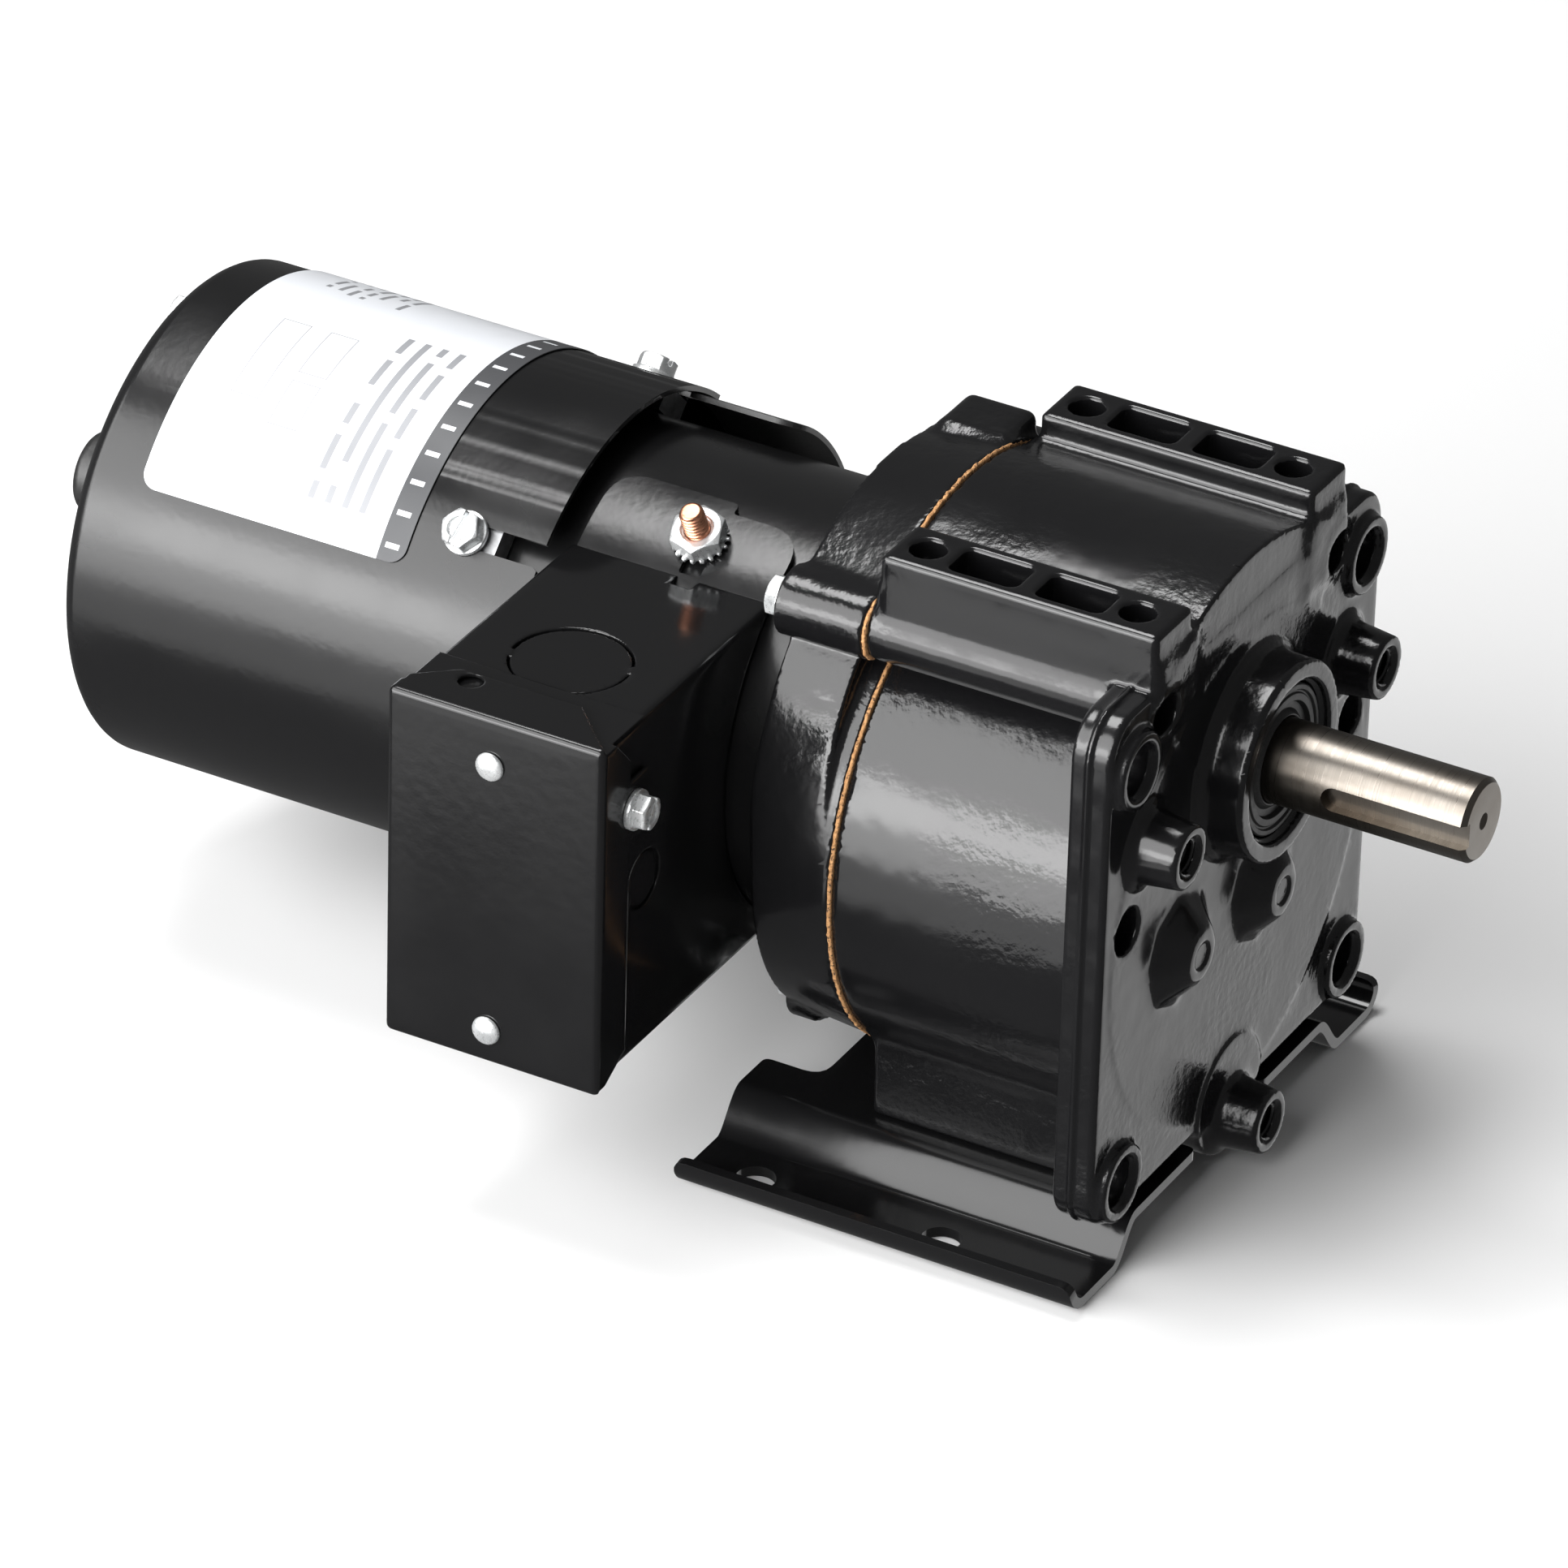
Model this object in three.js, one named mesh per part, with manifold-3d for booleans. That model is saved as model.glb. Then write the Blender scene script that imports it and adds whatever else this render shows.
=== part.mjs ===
// Parallel-shaft AC gearmotor: a fan-cooled motor with a conduit box, bolted to a three-stage spur
// gearbox on a bent-steel base. Millimetres, +Z up, +X along the output shaft towards its free end.
// Everything is first placed from the design datum (x = 0 at the output boss face, y = 0 on the
// shafts' middle plane, z = 0 on the floor), then the whole group is shifted to its own origin.
import * as THREE from "three";
import { mergeVertices } from "three/addons/utils/BufferGeometryUtils.js";
import Module from "manifold-3d";

const wasm = await Module();
wasm.setup();

// ---------------------------------------------------------------- driving dimensions
const FIT_GAP = 0.1; // radial gap between a turned piece and the hole that holds it
const SHEET = 1.2; // conduit box sheet

const SHAFT_HEIGHT = 87;
const SHAFT_RADIUS = 15.875 / 2;
const SHAFT_TIP = 38.2;
const KEY_WIDTH = 4.76;
const KEY_DEPTH = 2.4;
const KEY_START = 10;

const MOTOR_AXIS_HEIGHT = 71.1;
const SHELL_RADIUS = 40.5;
const SHELL_WALL = 1.9;
const SHELL_REAR = -168;
const STATOR_REAR = -148;
const STATOR_FRONT = -108;
const STATOR_BORE = 22.6;

const SHROUD_RADIUS = 47.4;
const SHROUD_WALL = 1;
const SHROUD_FRONT = -134.5;
const SHROUD_BEND = -224.6;
const SHROUD_REAR = -229.5;
const SHROUD_SHOULDER = 9.2; // how far the rounded rear edge reaches in from the outside
const SHROUD_SCREW_X = -150;
const CUP = { foot: 30, top: 22.5, rear: -240 }; // the raised middle of the shroud's rear
const INTAKES = { count: 12, width: 2.8, face: [31.4, 36.6], cup: [11, 19.5] };
const PLUG = { end: -250.6, radius: 8, shank: 6.6 };
const REAR_SCREW = { angles: [83, 263], radius: 36.5 };
const FAN = { rear: -222, front: -204, hub: 10, radius: 38, disc: 2, blades: 8, blade: 1.6 };

const ADAPTER_REAR = -84;
const GASKET_REAR = -66.4;
const CASE_REAR = -65.6;
const FLANGE_REAR = -17.5;
const FACE_X = -9.3;
const LOWER_LOBE = { z: 62, radius: 48.5 };
const UPPER_LOBE_RADIUS = 55.6;
const CASE_WALL = 4;
const FRONT_WALL = 5;
const CROWN_SPREAD = { outside: 40, inside: 32 }; // degrees each side of the vertical
const FLANGE = { halfWidth: 52.5, bottom: 11.5, top: 117, corner: 8 };
const RAIL = { rear: -64.4, inner: 23.2, outer: 36.5, foot: 116, top: 127.85, pocketDepth: 8 };
const RAIL_HOLES = [-58.4, -16.75];
const RAIL_WINDOWS = [
  [-52.6, -39.2],
  [-35.6, -22.2],
];
const UPPER_TUBE = { y: 32.9, z: 111.2, radius: 5.4 };
const LOWER_SCREW = { y: 24, z: 26.5, radius: 6.2 };
const CORNER_HOLES = { y: 43.8, low: 19.6, high: 105.3, ring: 7.6, rise: 2, hole: 4.7 };
const STANDOFF = { reach: 38.1, lowZ: 10.8, radius: 6.1, root: 8.4, tapped: 3.2, depth: 12 };
const TUBE_DIMPLE = { radius: 4.1, depth: 14 };
const SIDE_DIMPLE = { y: 43.2, z: 71.6, radius: 4.5, depth: 7 };
const OUTPUT_BOSS = { root: 21, radius: 19 };
const SEAL_SEAT = { rear: -11, lip: -1.4, radius: 14.4, mouth: 15.6 };
const FOOT_BLOCK = { halfWidth: 33.5, rear: -64, top: 40 };

const BASE = { rear: -89.6, front: -8.4, deckTop: 9.6, sheet: 2, deckHalf: 36, stepEnd: 44.5 };
const BASE_LIP = { start: 55.6, reach: 4.3, rise: 5.2 };
const BASE_NOTCH = { rear: -77.8, rearHalf: 27, front: -18.5, frontHalf: 13, corner: 4 };
const FOOT_HOLES = { x: [-77, -38.9], y: 52.5, radius: 3.75 };

const BOX = { rear: -133, front: -91.4, bottom: 35.2, top: 104.4, face: -86.6 };
const COVER_CLEARANCE = 0.2;
const COVER_FLANGE = -77.6;
const SADDLE = { inner: SHELL_RADIUS + 0.4, rear: -131.5, front: -92, halfAngle: 76.5 };
const KNOCKOUT = { x: -112, y: -61.8, radius: 11.3, groove: 0.8, depth: 0.5 };
const SIDE_KNOCKOUT = { y: -70.6, z: 70.4, inner: 4.9, outer: 5.7 };

// ---------------------------------------------------------------- gear train
// Three spur stages from the rotor to the output shaft: teeth, module and the gear's two faces.
const STAGE_1 = { pinion: 16, gear: 38, module: 1, rear: -63.6, front: -55.4 };
const STAGE_2 = { pinion: 18, gear: 46, module: 1, rear: -53, front: -43.4 };
const STAGE_3 = { pinion: 16, gear: 38, module: 1.25, rear: -41, front: -27 };
const MOTOR_AXIS = new THREE.Vector2(0, MOTOR_AXIS_HEIGHT);
const OUTPUT_AXIS = new THREE.Vector2(0, SHAFT_HEIGHT);
const FIRST_SHAFT_ANGLE = THREE.MathUtils.degToRad(210); // seen from the motor axis
const FIRST_AXIS = new THREE.Vector2(
  MOTOR_AXIS.x + centreDistance(STAGE_1) * Math.cos(FIRST_SHAFT_ANGLE),
  MOTOR_AXIS.y + centreDistance(STAGE_1) * Math.sin(FIRST_SHAFT_ANGLE),
);
const SECOND_AXIS = meetingPoint(
  FIRST_AXIS,
  centreDistance(STAGE_2),
  OUTPUT_AXIS,
  centreDistance(STAGE_3),
);

function centreDistance(stage) {
  return (stage.module * (stage.pinion + stage.gear)) / 2;
}

// The lower of the two points at the given distances from two centres.
function meetingPoint(a, fromA, b, fromB) {
  const between = a.distanceTo(b);
  const along = (fromA ** 2 - fromB ** 2 + between ** 2) / (2 * between);
  const across = Math.sqrt(fromA ** 2 - along ** 2);
  const unit = b.clone().sub(a).divideScalar(between);
  return new THREE.Vector2(
    a.x + unit.x * along + unit.y * across,
    a.y + unit.y * along - unit.x * across,
  );
}

// ---------------------------------------------------------------- finishes
function finish(color, roughness, metalness) {
  return new THREE.MeshStandardMaterial({ color, roughness, metalness });
}
const FINISH = {
  paint: finish(0x0b0b0c, 0.25, 0.1),
  castPaint: finish(0x101012, 0.32, 0.1),
  rubber: finish(0x161616, 0.7, 0),
  gasket: finish(0xa5713f, 0.85, 0),
  zinc: finish(0xc9ccd0, 0.3, 0.9),
  copper: finish(0xb5654a, 0.4, 0.9),
  steel: finish(0x8e8a84, 0.35, 1),
  gearSteel: finish(0x77787a, 0.4, 1),
  bronze: finish(0x9b7440, 0.45, 0.9),
  lamination: finish(0x55565a, 0.5, 0.9),
  winding: finish(0xa3552c, 0.45, 0.6),
  aluminium: finish(0xb8babd, 0.45, 0.9),
  plastic: finish(0x1d1d1f, 0.5, 0),
  label: finish(0xe9ebee, 0.4, 0),
};

// ---------------------------------------------------------------- shape helpers
const X_AXIS = new THREE.Vector3(1, 0, 0);
const Y_AXIS = new THREE.Vector3(0, 1, 0);
const Z_AXIS = new THREE.Vector3(0, 0, 1);
const PUSH_X = new THREE.Matrix4().makeBasis(Y_AXIS, Z_AXIS, X_AXIS);
const PUSH_Y = new THREE.Matrix4().makeBasis(X_AXIS, Z_AXIS, Y_AXIS.clone().negate());

// A manifold solid from any closed three.js geometry, faces turned outwards.
function solid(geometry) {
  const bare = geometry.index ? geometry.toNonIndexed() : geometry.clone();
  bare.deleteAttribute("normal");
  bare.deleteAttribute("uv");
  const merged = mergeVertices(bare, 1e-4);
  const triVerts = new Uint32Array(merged.index.array);
  const vertProperties = merged.attributes.position.array;
  const made = new wasm.Manifold(new wasm.Mesh({ numProp: 3, vertProperties, triVerts }));
  if (made.volume() > 0) return made;
  for (let i = 0; i < triVerts.length; i += 3) {
    [triVerts[i + 1], triVerts[i + 2]] = [triVerts[i + 2], triVerts[i + 1]];
  }
  return new wasm.Manifold(new wasm.Mesh({ numProp: 3, vertProperties, triVerts }));
}

function extruded(outline, length, curveSegments) {
  return new THREE.ExtrudeGeometry(outline, { depth: length, bevelEnabled: false, curveSegments });
}

// An outline in (y, z) pushed along X.
function pushX(outline, low, high, curveSegments = 6) {
  const geometry = extruded(outline, high - low, curveSegments).applyMatrix4(PUSH_X);
  return solid(geometry.translate(low, 0, 0));
}

// An outline in (x, z) pushed along Y.
function pushY(outline, low, high, curveSegments = 6) {
  const geometry = extruded(outline, high - low, curveSegments).applyMatrix4(PUSH_Y);
  return solid(geometry.translate(0, high, 0));
}

// An outline in (x, y) pushed along Z.
function pushZ(outline, low, high, curveSegments = 6) {
  return solid(extruded(outline, high - low, curveSegments).translate(0, 0, low));
}

// A profile of [x, radius] points turned round an axis along X through (y, z).
function turnedX(profile, y, z, sides = 32) {
  const points = profile.map(([x, radius]) => new THREE.Vector2(radius, x));
  const geometry = new THREE.LatheGeometry(points, sides).rotateZ(-Math.PI / 2);
  return solid(geometry.translate(0, y, z));
}

function rodX(low, high, radius, y, z, sides = 32) {
  const profile = [
    [low, 0],
    [low, radius],
    [high, radius],
    [high, 0],
  ];
  return turnedX(profile, y, z, sides);
}

function ringX(low, high, inner, outer, y, z, sides = 32) {
  const profile = [
    [low, inner],
    [low, outer],
    [high, outer],
    [high, inner],
    [low, inner],
  ];
  return turnedX(profile, y, z, sides);
}

function rodZ(low, high, radius, x, y, sides = 24) {
  const geometry = new THREE.CylinderGeometry(radius, radius, high - low, sides);
  return solid(geometry.rotateX(Math.PI / 2).translate(x, y, (low + high) / 2));
}

function block(x, y, z) {
  const geometry = new THREE.BoxGeometry(x[1] - x[0], y[1] - y[0], z[1] - z[0]);
  return solid(geometry.translate((x[0] + x[1]) / 2, (y[0] + y[1]) / 2, (z[0] + z[1]) / 2));
}

function joined(...parts) {
  return parts.reduce((whole, piece) => whole.add(piece));
}

function cut(whole, ...tools) {
  return tools.reduce((left, tool) => left.subtract(tool), whole);
}

// A rectangle with rounded corners in the outline plane.
function roundedRectangle(left, right, bottom, top, radius) {
  const outline = new THREE.Shape();
  outline.moveTo(left + radius, bottom);
  outline.lineTo(right - radius, bottom);
  outline.absarc(right - radius, bottom + radius, radius, -Math.PI / 2, 0, false);
  outline.lineTo(right, top - radius);
  outline.absarc(right - radius, top - radius, radius, 0, Math.PI / 2, false);
  outline.lineTo(left + radius, top);
  outline.absarc(left + radius, top - radius, radius, Math.PI / 2, Math.PI, false);
  outline.lineTo(left, bottom + radius);
  outline.absarc(left + radius, bottom + radius, radius, Math.PI, Math.PI * 1.5, false);
  return outline;
}

// A band of sheet bent round the X axis through (0, centreZ), angles in degrees from +Y.
function bentBand(inner, outer, from, to, centreZ) {
  const start = THREE.MathUtils.degToRad(from);
  const end = THREE.MathUtils.degToRad(to);
  const outline = new THREE.Shape();
  outline.absarc(0, centreZ, outer, start, end, false);
  outline.absarc(0, centreZ, inner, end, start, true);
  return outline;
}

// Moves a piece made along +Z from the origin onto a radius of the motor axis.
function onMotorRadius(piece, x, degrees, radius) {
  const turn = new THREE.Matrix4().makeRotationX(THREE.MathUtils.degToRad(degrees - 90));
  const place = new THREE.Matrix4().makeTranslation(x, 0, MOTOR_AXIS_HEIGHT);
  const out = new THREE.Matrix4().makeTranslation(0, 0, radius);
  return piece.transform(place.multiply(turn).multiply(out).elements);
}

// ---------------------------------------------------------------- the group of named meshes
const model = new THREE.Group();

function add(name, material, made) {
  const data = made.getMesh();
  const geometry = new THREE.BufferGeometry();
  geometry.setAttribute("position", new THREE.BufferAttribute(data.vertProperties, 3));
  geometry.setIndex(new THREE.BufferAttribute(data.triVerts, 1));
  geometry.computeVertexNormals();
  const mesh = new THREE.Mesh(geometry, material);
  mesh.name = name;
  model.add(mesh);
}

// ---------------------------------------------------------------- gears
// Spur gear outline in (y, z): each flank is a straight facet between the root and tip points of
// its involute. One tooth points along toothAngle.
function gearOutline(centre, teeth, module, toothAngle, bore) {
  const pressure = THREE.MathUtils.degToRad(20);
  const pitch = (module * teeth) / 2;
  const base = pitch * Math.cos(pressure);
  const root = pitch - 1.25 * module;
  const tip = pitch + 0.95 * module;
  const involute = (angle) => Math.tan(angle) - angle;
  const halfTooth = Math.PI / (2 * teeth) - (0.08 * module) / pitch;
  const halfAngle = (radius) => {
    const rolled = Math.acos(Math.min(1, base / radius));
    return halfTooth + involute(pressure) - involute(rolled);
  };
  const points = [];
  for (let tooth = 0; tooth < teeth; tooth += 1) {
    const middle = toothAngle + (tooth * 2 * Math.PI) / teeth;
    const flank = [root, tip].map((radius) => [radius, halfAngle(radius)]);
    const right = flank.map(([radius, half]) => [radius, middle - half]);
    const left = flank.map(([radius, half]) => [radius, middle + half]).reverse();
    for (const [radius, angle] of [...right, ...left]) {
      points.push(
        new THREE.Vector2(
          centre.x + radius * Math.cos(angle),
          centre.y + radius * Math.sin(angle),
        ),
      );
    }
  }
  const outline = new THREE.Shape(points);
  if (bore > 0) {
    const hole = new THREE.Path();
    hole.absarc(centre.x, centre.y, bore, 0, 2 * Math.PI, true);
    outline.holes.push(hole);
  }
  return outline;
}

function lineAngle(from, to) {
  return Math.atan2(to.y - from.y, to.x - from.x);
}

// A pinion has a tooth on the line of centres and its gear a gap there, so they stand in mesh.
function pinionOf(stage, axis, gearAxis, bore, low = stage.rear, high = stage.front) {
  const angle = lineAngle(axis, gearAxis);
  const outline = gearOutline(axis, stage.pinion, stage.module, angle, bore);
  return pushX(outline, low, high, 12);
}

function gearOf(stage, axis, pinionAxis, bore) {
  const angle = lineAngle(axis, pinionAxis) + Math.PI / stage.gear;
  const outline = gearOutline(axis, stage.gear, stage.module, angle, bore);
  return pushX(outline, stage.rear, stage.front, 12);
}

// ---------------------------------------------------------------- gearcase and adapter
// The casing section in (y, z) as a solid between two stations along X; wall shrinks it inwards.
function casingCore(low, high, wall) {
  const lower = rodX(low, high, LOWER_LOBE.radius - wall, 0, LOWER_LOBE.z, 36);
  const crown = new THREE.Shape();
  const upper = UPPER_LOBE_RADIUS - wall;
  const spread = THREE.MathUtils.degToRad(wall > 0 ? CROWN_SPREAD.inside : CROWN_SPREAD.outside);
  const across = upper * Math.sin(spread);
  crown.moveTo(0, MOTOR_AXIS_HEIGHT);
  crown.lineTo(across, MOTOR_AXIS_HEIGHT + upper * Math.cos(spread));
  crown.absarc(0, MOTOR_AXIS_HEIGHT, upper, Math.PI / 2 - spread, Math.PI / 2 + spread, false);
  return joined(lower, pushX(crown, low, high, 5));
}

function screwTubes(low, high, radius) {
  const sides = [-1, 1];
  const tubes = sides.map((side) =>
    rodX(low, high, radius, side * UPPER_TUBE.y, UPPER_TUBE.z, 18),
  );
  return joined(...tubes);
}

function lowerScrewBosses(low, high) {
  const sides = [-1, 1];
  const bosses = sides.map((side) =>
    rodX(low, high, LOWER_SCREW.radius, side * LOWER_SCREW.y, LOWER_SCREW.z, 14),
  );
  return joined(...bosses);
}

const CASE_SCREWS = [
  [-UPPER_TUBE.y, UPPER_TUBE.z],
  [UPPER_TUBE.y, UPPER_TUBE.z],
  [-LOWER_SCREW.y, LOWER_SCREW.z],
  [LOWER_SCREW.y, LOWER_SCREW.z],
];
const CASE_SCREW_RADIUS = 2.4;
const CASE_SCREW_END = -52;
const CASE_SCREW_HEAD = { radius: 4.3, height: 3.6 };
const JOURNAL_RADIUS = 5;
const OUTPUT_JOURNAL = 6;
const BUSH_RADIUS = 8;
const OUTPUT_BUSH_RADIUS = 8.4;
const REAR_BUSH = { rear: -72.8, front: -66.5, pocket: -73 };
const FRONT_BUSH = { rear: FACE_X - 4.8, front: FACE_X + 0.8, pocket: FACE_X + 1 };
const COUNTERSHAFT = { rear: -72.4, front: FACE_X + 0.6 };
const OUTPUT_BEARING = { rear: -20.5, front: -11.1, radius: 17.46, housing: 20.6 };
const OUTPUT_GEAR_ROOM = { radius: 26, front: -24 };
const BUMP = { root: 11.3, flat: 5.6, height: 5.5 };

function screwHoles(low, high) {
  const holes = CASE_SCREWS.map(([y, z]) =>
    rodX(low, high, CASE_SCREW_RADIUS + FIT_GAP, y, z, 12),
  );
  return joined(...holes);
}

function addGearcase() {
  const body = joined(
    casingCore(CASE_REAR, FACE_X, 0),
    screwTubes(CASE_REAR, FACE_X, UPPER_TUBE.radius),
    footBlock(),
    rails(),
    frontFlange(),
    frontBosses(),
  );
  const wallFront = FACE_X - FRONT_WALL;
  const gearRoom = OUTPUT_GEAR_ROOM;
  const cavity = cut(
    joined(
      casingCore(CASE_REAR - 1, wallFront, CASE_WALL),
      rodX(CASE_REAR - 1, gearRoom.front, gearRoom.radius, 0, SHAFT_HEIGHT, 36),
    ),
    lowerScrewBosses(CASE_REAR - 2, CASE_SCREW_END + 2),
    outputBearingHousing(wallFront),
  );
  const bearingSeat = OUTPUT_BEARING.radius + 2 * FIT_GAP;
  const outputBore = turnedX(
    [
      [OUTPUT_BEARING.rear - 9, 0],
      [OUTPUT_BEARING.rear - 9, bearingSeat],
      [SEAL_SEAT.rear, bearingSeat],
      [SEAL_SEAT.rear, SEAL_SEAT.radius],
      [SEAL_SEAT.lip, SEAL_SEAT.radius],
      [SEAL_SEAT.lip, SEAL_SEAT.mouth],
      [1, SEAL_SEAT.mouth],
      [1, 0],
    ],
    0,
    SHAFT_HEIGHT,
    28,
  );
  const bushPockets = [FIRST_AXIS, SECOND_AXIS].map((axis) =>
    rodX(wallFront - 1, FRONT_BUSH.pocket, BUSH_RADIUS + FIT_GAP, axis.x, axis.y, 24),
  );
  const made = cut(
    body,
    cavity,
    outputBore,
    ...bushPockets,
    screwHoles(CASE_REAR - 1, CASE_SCREW_END + 0.5),
    ...railPockets(),
    ...faceHoles(),
    ...baseScrewHoles(),
  );
  add("gearcase", FINISH.castPaint, made);
}

function outputBearingHousing(wallFront) {
  const { rear, housing } = OUTPUT_BEARING;
  return rodX(rear - 1, wallFront + 1, housing, 0, SHAFT_HEIGHT, 28);
}

function footBlock() {
  const { halfWidth, rear, top } = FOOT_BLOCK;
  return block([rear, FLANGE_REAR + 1], [-halfWidth, halfWidth], [BASE.deckTop + 0.05, top]);
}

function rails() {
  const sides = [-1, 1];
  const bars = sides.map((side) => {
    const edges = [side * RAIL.inner, side * RAIL.outer].sort((a, b) => a - b);
    return block([RAIL.rear, FACE_X], edges, [RAIL.foot, RAIL.top]);
  });
  return joined(...bars);
}

function frontFlange() {
  const { halfWidth, bottom, top, corner } = FLANGE;
  const outline = roundedRectangle(-halfWidth, halfWidth, bottom, top, corner);
  return pushX(outline, FLANGE_REAR, FACE_X, 3);
}

// Everything raised on the front face: output boss, corner rings, tapped standoffs, shaft bumps.
function frontBosses() {
  const outputBoss = turnedX(
    [
      [FLANGE_REAR, 0],
      [FLANGE_REAR, OUTPUT_BOSS.root],
      [FACE_X, OUTPUT_BOSS.root],
      [FACE_X + 1.2, OUTPUT_BOSS.radius + 0.6],
      [FACE_X + 3.5, OUTPUT_BOSS.radius],
      [-0.6, OUTPUT_BOSS.radius],
      [0, OUTPUT_BOSS.radius - 0.6],
      [0, 0],
    ],
    0,
    SHAFT_HEIGHT,
    32,
  );
  const rings = cornerPlaces().map(([y, z]) =>
    rodX(FLANGE_REAR, FACE_X + CORNER_HOLES.rise, CORNER_HOLES.ring, y, z, 18),
  );
  const standoffProfile = [
    [FLANGE_REAR, 0],
    [FLANGE_REAR, STANDOFF.root],
    [FACE_X + 0.6, STANDOFF.root],
    [FACE_X + 1.2, STANDOFF.radius + 0.8],
    [-0.5, STANDOFF.radius],
    [0, STANDOFF.radius - 0.5],
    [0, 0],
  ];
  const standoffs = standoffPlaces().map(([y, z]) => turnedX(standoffProfile, y, z, 18));
  const bumpProfile = [
    [FLANGE_REAR + 2, 0],
    [FLANGE_REAR + 2, BUMP.root],
    [FACE_X, BUMP.root],
    [FACE_X + BUMP.height, BUMP.flat],
    [FACE_X + BUMP.height, 0],
  ];
  const bumps = [FIRST_AXIS, SECOND_AXIS].map((axis) => turnedX(bumpProfile, axis.x, axis.y, 8));
  return joined(outputBoss, ...rings, ...standoffs, ...bumps);
}

function cornerPlaces() {
  const { y, low, high } = CORNER_HOLES;
  return [
    [-y, high],
    [y, high],
    [-y, low],
    [y, low],
  ];
}

function standoffPlaces() {
  return [
    [-STANDOFF.reach, SHAFT_HEIGHT],
    [STANDOFF.reach, SHAFT_HEIGHT],
    [0, STANDOFF.lowZ],
  ];
}

function faceHoles() {
  const through = cornerPlaces().map(([y, z]) =>
    rodX(FLANGE_REAR - 7.5, 1, CORNER_HOLES.hole, y, z, 18),
  );
  const tapped = standoffPlaces().map(([y, z]) =>
    rodX(-STANDOFF.depth, 1, STANDOFF.tapped, y, z, 14),
  );
  const blind = (dimple, y, z) => rodX(FACE_X - dimple.depth, 0, dimple.radius, y, z, 14);
  const upperBlind = [-1, 1].map((side) =>
    blind(TUBE_DIMPLE, side * UPPER_TUBE.y, UPPER_TUBE.z),
  );
  const sideBlind = [-1, 1].map((side) =>
    blind(SIDE_DIMPLE, side * SIDE_DIMPLE.y, SIDE_DIMPLE.z),
  );
  return [...through, ...tapped, ...upperBlind, ...sideBlind];
}

const RAIL_POCKET = { radius: 3.4, halfWidth: 4.3, corner: 2 };

function railPockets() {
  const middle = (RAIL.inner + RAIL.outer) / 2;
  const low = RAIL.top - RAIL.pocketDepth;
  const { radius, halfWidth, corner } = RAIL_POCKET;
  const pockets = [];
  for (const side of [-1, 1]) {
    for (const x of RAIL_HOLES) {
      pockets.push(rodZ(low, RAIL.top + 1, radius, x, side * middle, 14));
    }
    for (const [rear, front] of RAIL_WINDOWS) {
      const edges = [side * middle - halfWidth, side * middle + halfWidth];
      const outline = roundedRectangle(rear, front, edges[0], edges[1], corner);
      pockets.push(pushZ(outline, low, RAIL.top + 1, 1));
    }
  }
  return pockets;
}

const BASE_SCREWS = [
  [-52, -22],
  [-52, 22],
  [-20, -22],
  [-20, 22],
];
const BASE_SCREW = { shank: 2.5, end: 18, hex: 4.6, washer: 5.4, washerSheet: 0.9, head: 2.8 };

function baseScrewHoles() {
  const radius = BASE_SCREW.shank + FIT_GAP;
  return BASE_SCREWS.map(([x, y]) => rodZ(0, BASE_SCREW.end + 1.5, radius, x, y, 12));
}

const ROTOR_FRONT_BEARING = { rear: -83.5, front: -74.1, radius: 16 };
const MOTOR_POCKET = { inner: 20, outer: 36, front: -75 }; // ring groove that faces the winding

function addAdapter() {
  const lug = UPPER_TUBE.radius + 1.4;
  const body = joined(
    casingCore(ADAPTER_REAR, GASKET_REAR, 0),
    screwTubes(ADAPTER_REAR, GASKET_REAR, lug),
  );
  const { inner, outer, front } = MOTOR_POCKET;
  const motorPocket = ringX(ADAPTER_REAR - 1, front, inner, outer, 0, MOTOR_AXIS_HEIGHT, 32);
  const bearingSeat = ROTOR_FRONT_BEARING.radius + FIT_GAP;
  const shaftBore = turnedX(
    [
      [ADAPTER_REAR - 1, 0],
      [ADAPTER_REAR - 1, bearingSeat],
      [ROTOR_FRONT_BEARING.front + 0.1, bearingSeat],
      [ROTOR_FRONT_BEARING.front + 0.1, JOURNAL_RADIUS + 1],
      [GASKET_REAR + 1, JOURNAL_RADIUS + 1],
      [GASKET_REAR + 1, 0],
    ],
    0,
    MOTOR_AXIS_HEIGHT,
    32,
  );
  const bushes = [
    [FIRST_AXIS, BUSH_RADIUS],
    [SECOND_AXIS, BUSH_RADIUS],
    [OUTPUT_AXIS, OUTPUT_BUSH_RADIUS],
  ].map(([axis, radius]) =>
    rodX(REAR_BUSH.pocket - 0.2, GASKET_REAR + 1, radius + FIT_GAP, axis.x, axis.y, 24),
  );
  const made = cut(
    body,
    motorPocket,
    shaftBore,
    ...bushes,
    screwHoles(ADAPTER_REAR - 1, GASKET_REAR + 1),
  );
  add("adapter_casting", FINISH.castPaint, made);
}

function addGasket() {
  const body = joined(
    casingCore(GASKET_REAR, CASE_REAR, 0),
    screwTubes(GASKET_REAR, CASE_REAR, UPPER_TUBE.radius),
  );
  const opening = cut(
    casingCore(GASKET_REAR - 1, CASE_REAR + 1, CASE_WALL),
    lowerScrewBosses(GASKET_REAR - 2, CASE_REAR + 2),
  );
  const holes = screwHoles(GASKET_REAR - 1, CASE_REAR + 1);
  add("gearcase_gasket", FINISH.gasket, cut(body, opening, holes));
}

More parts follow.
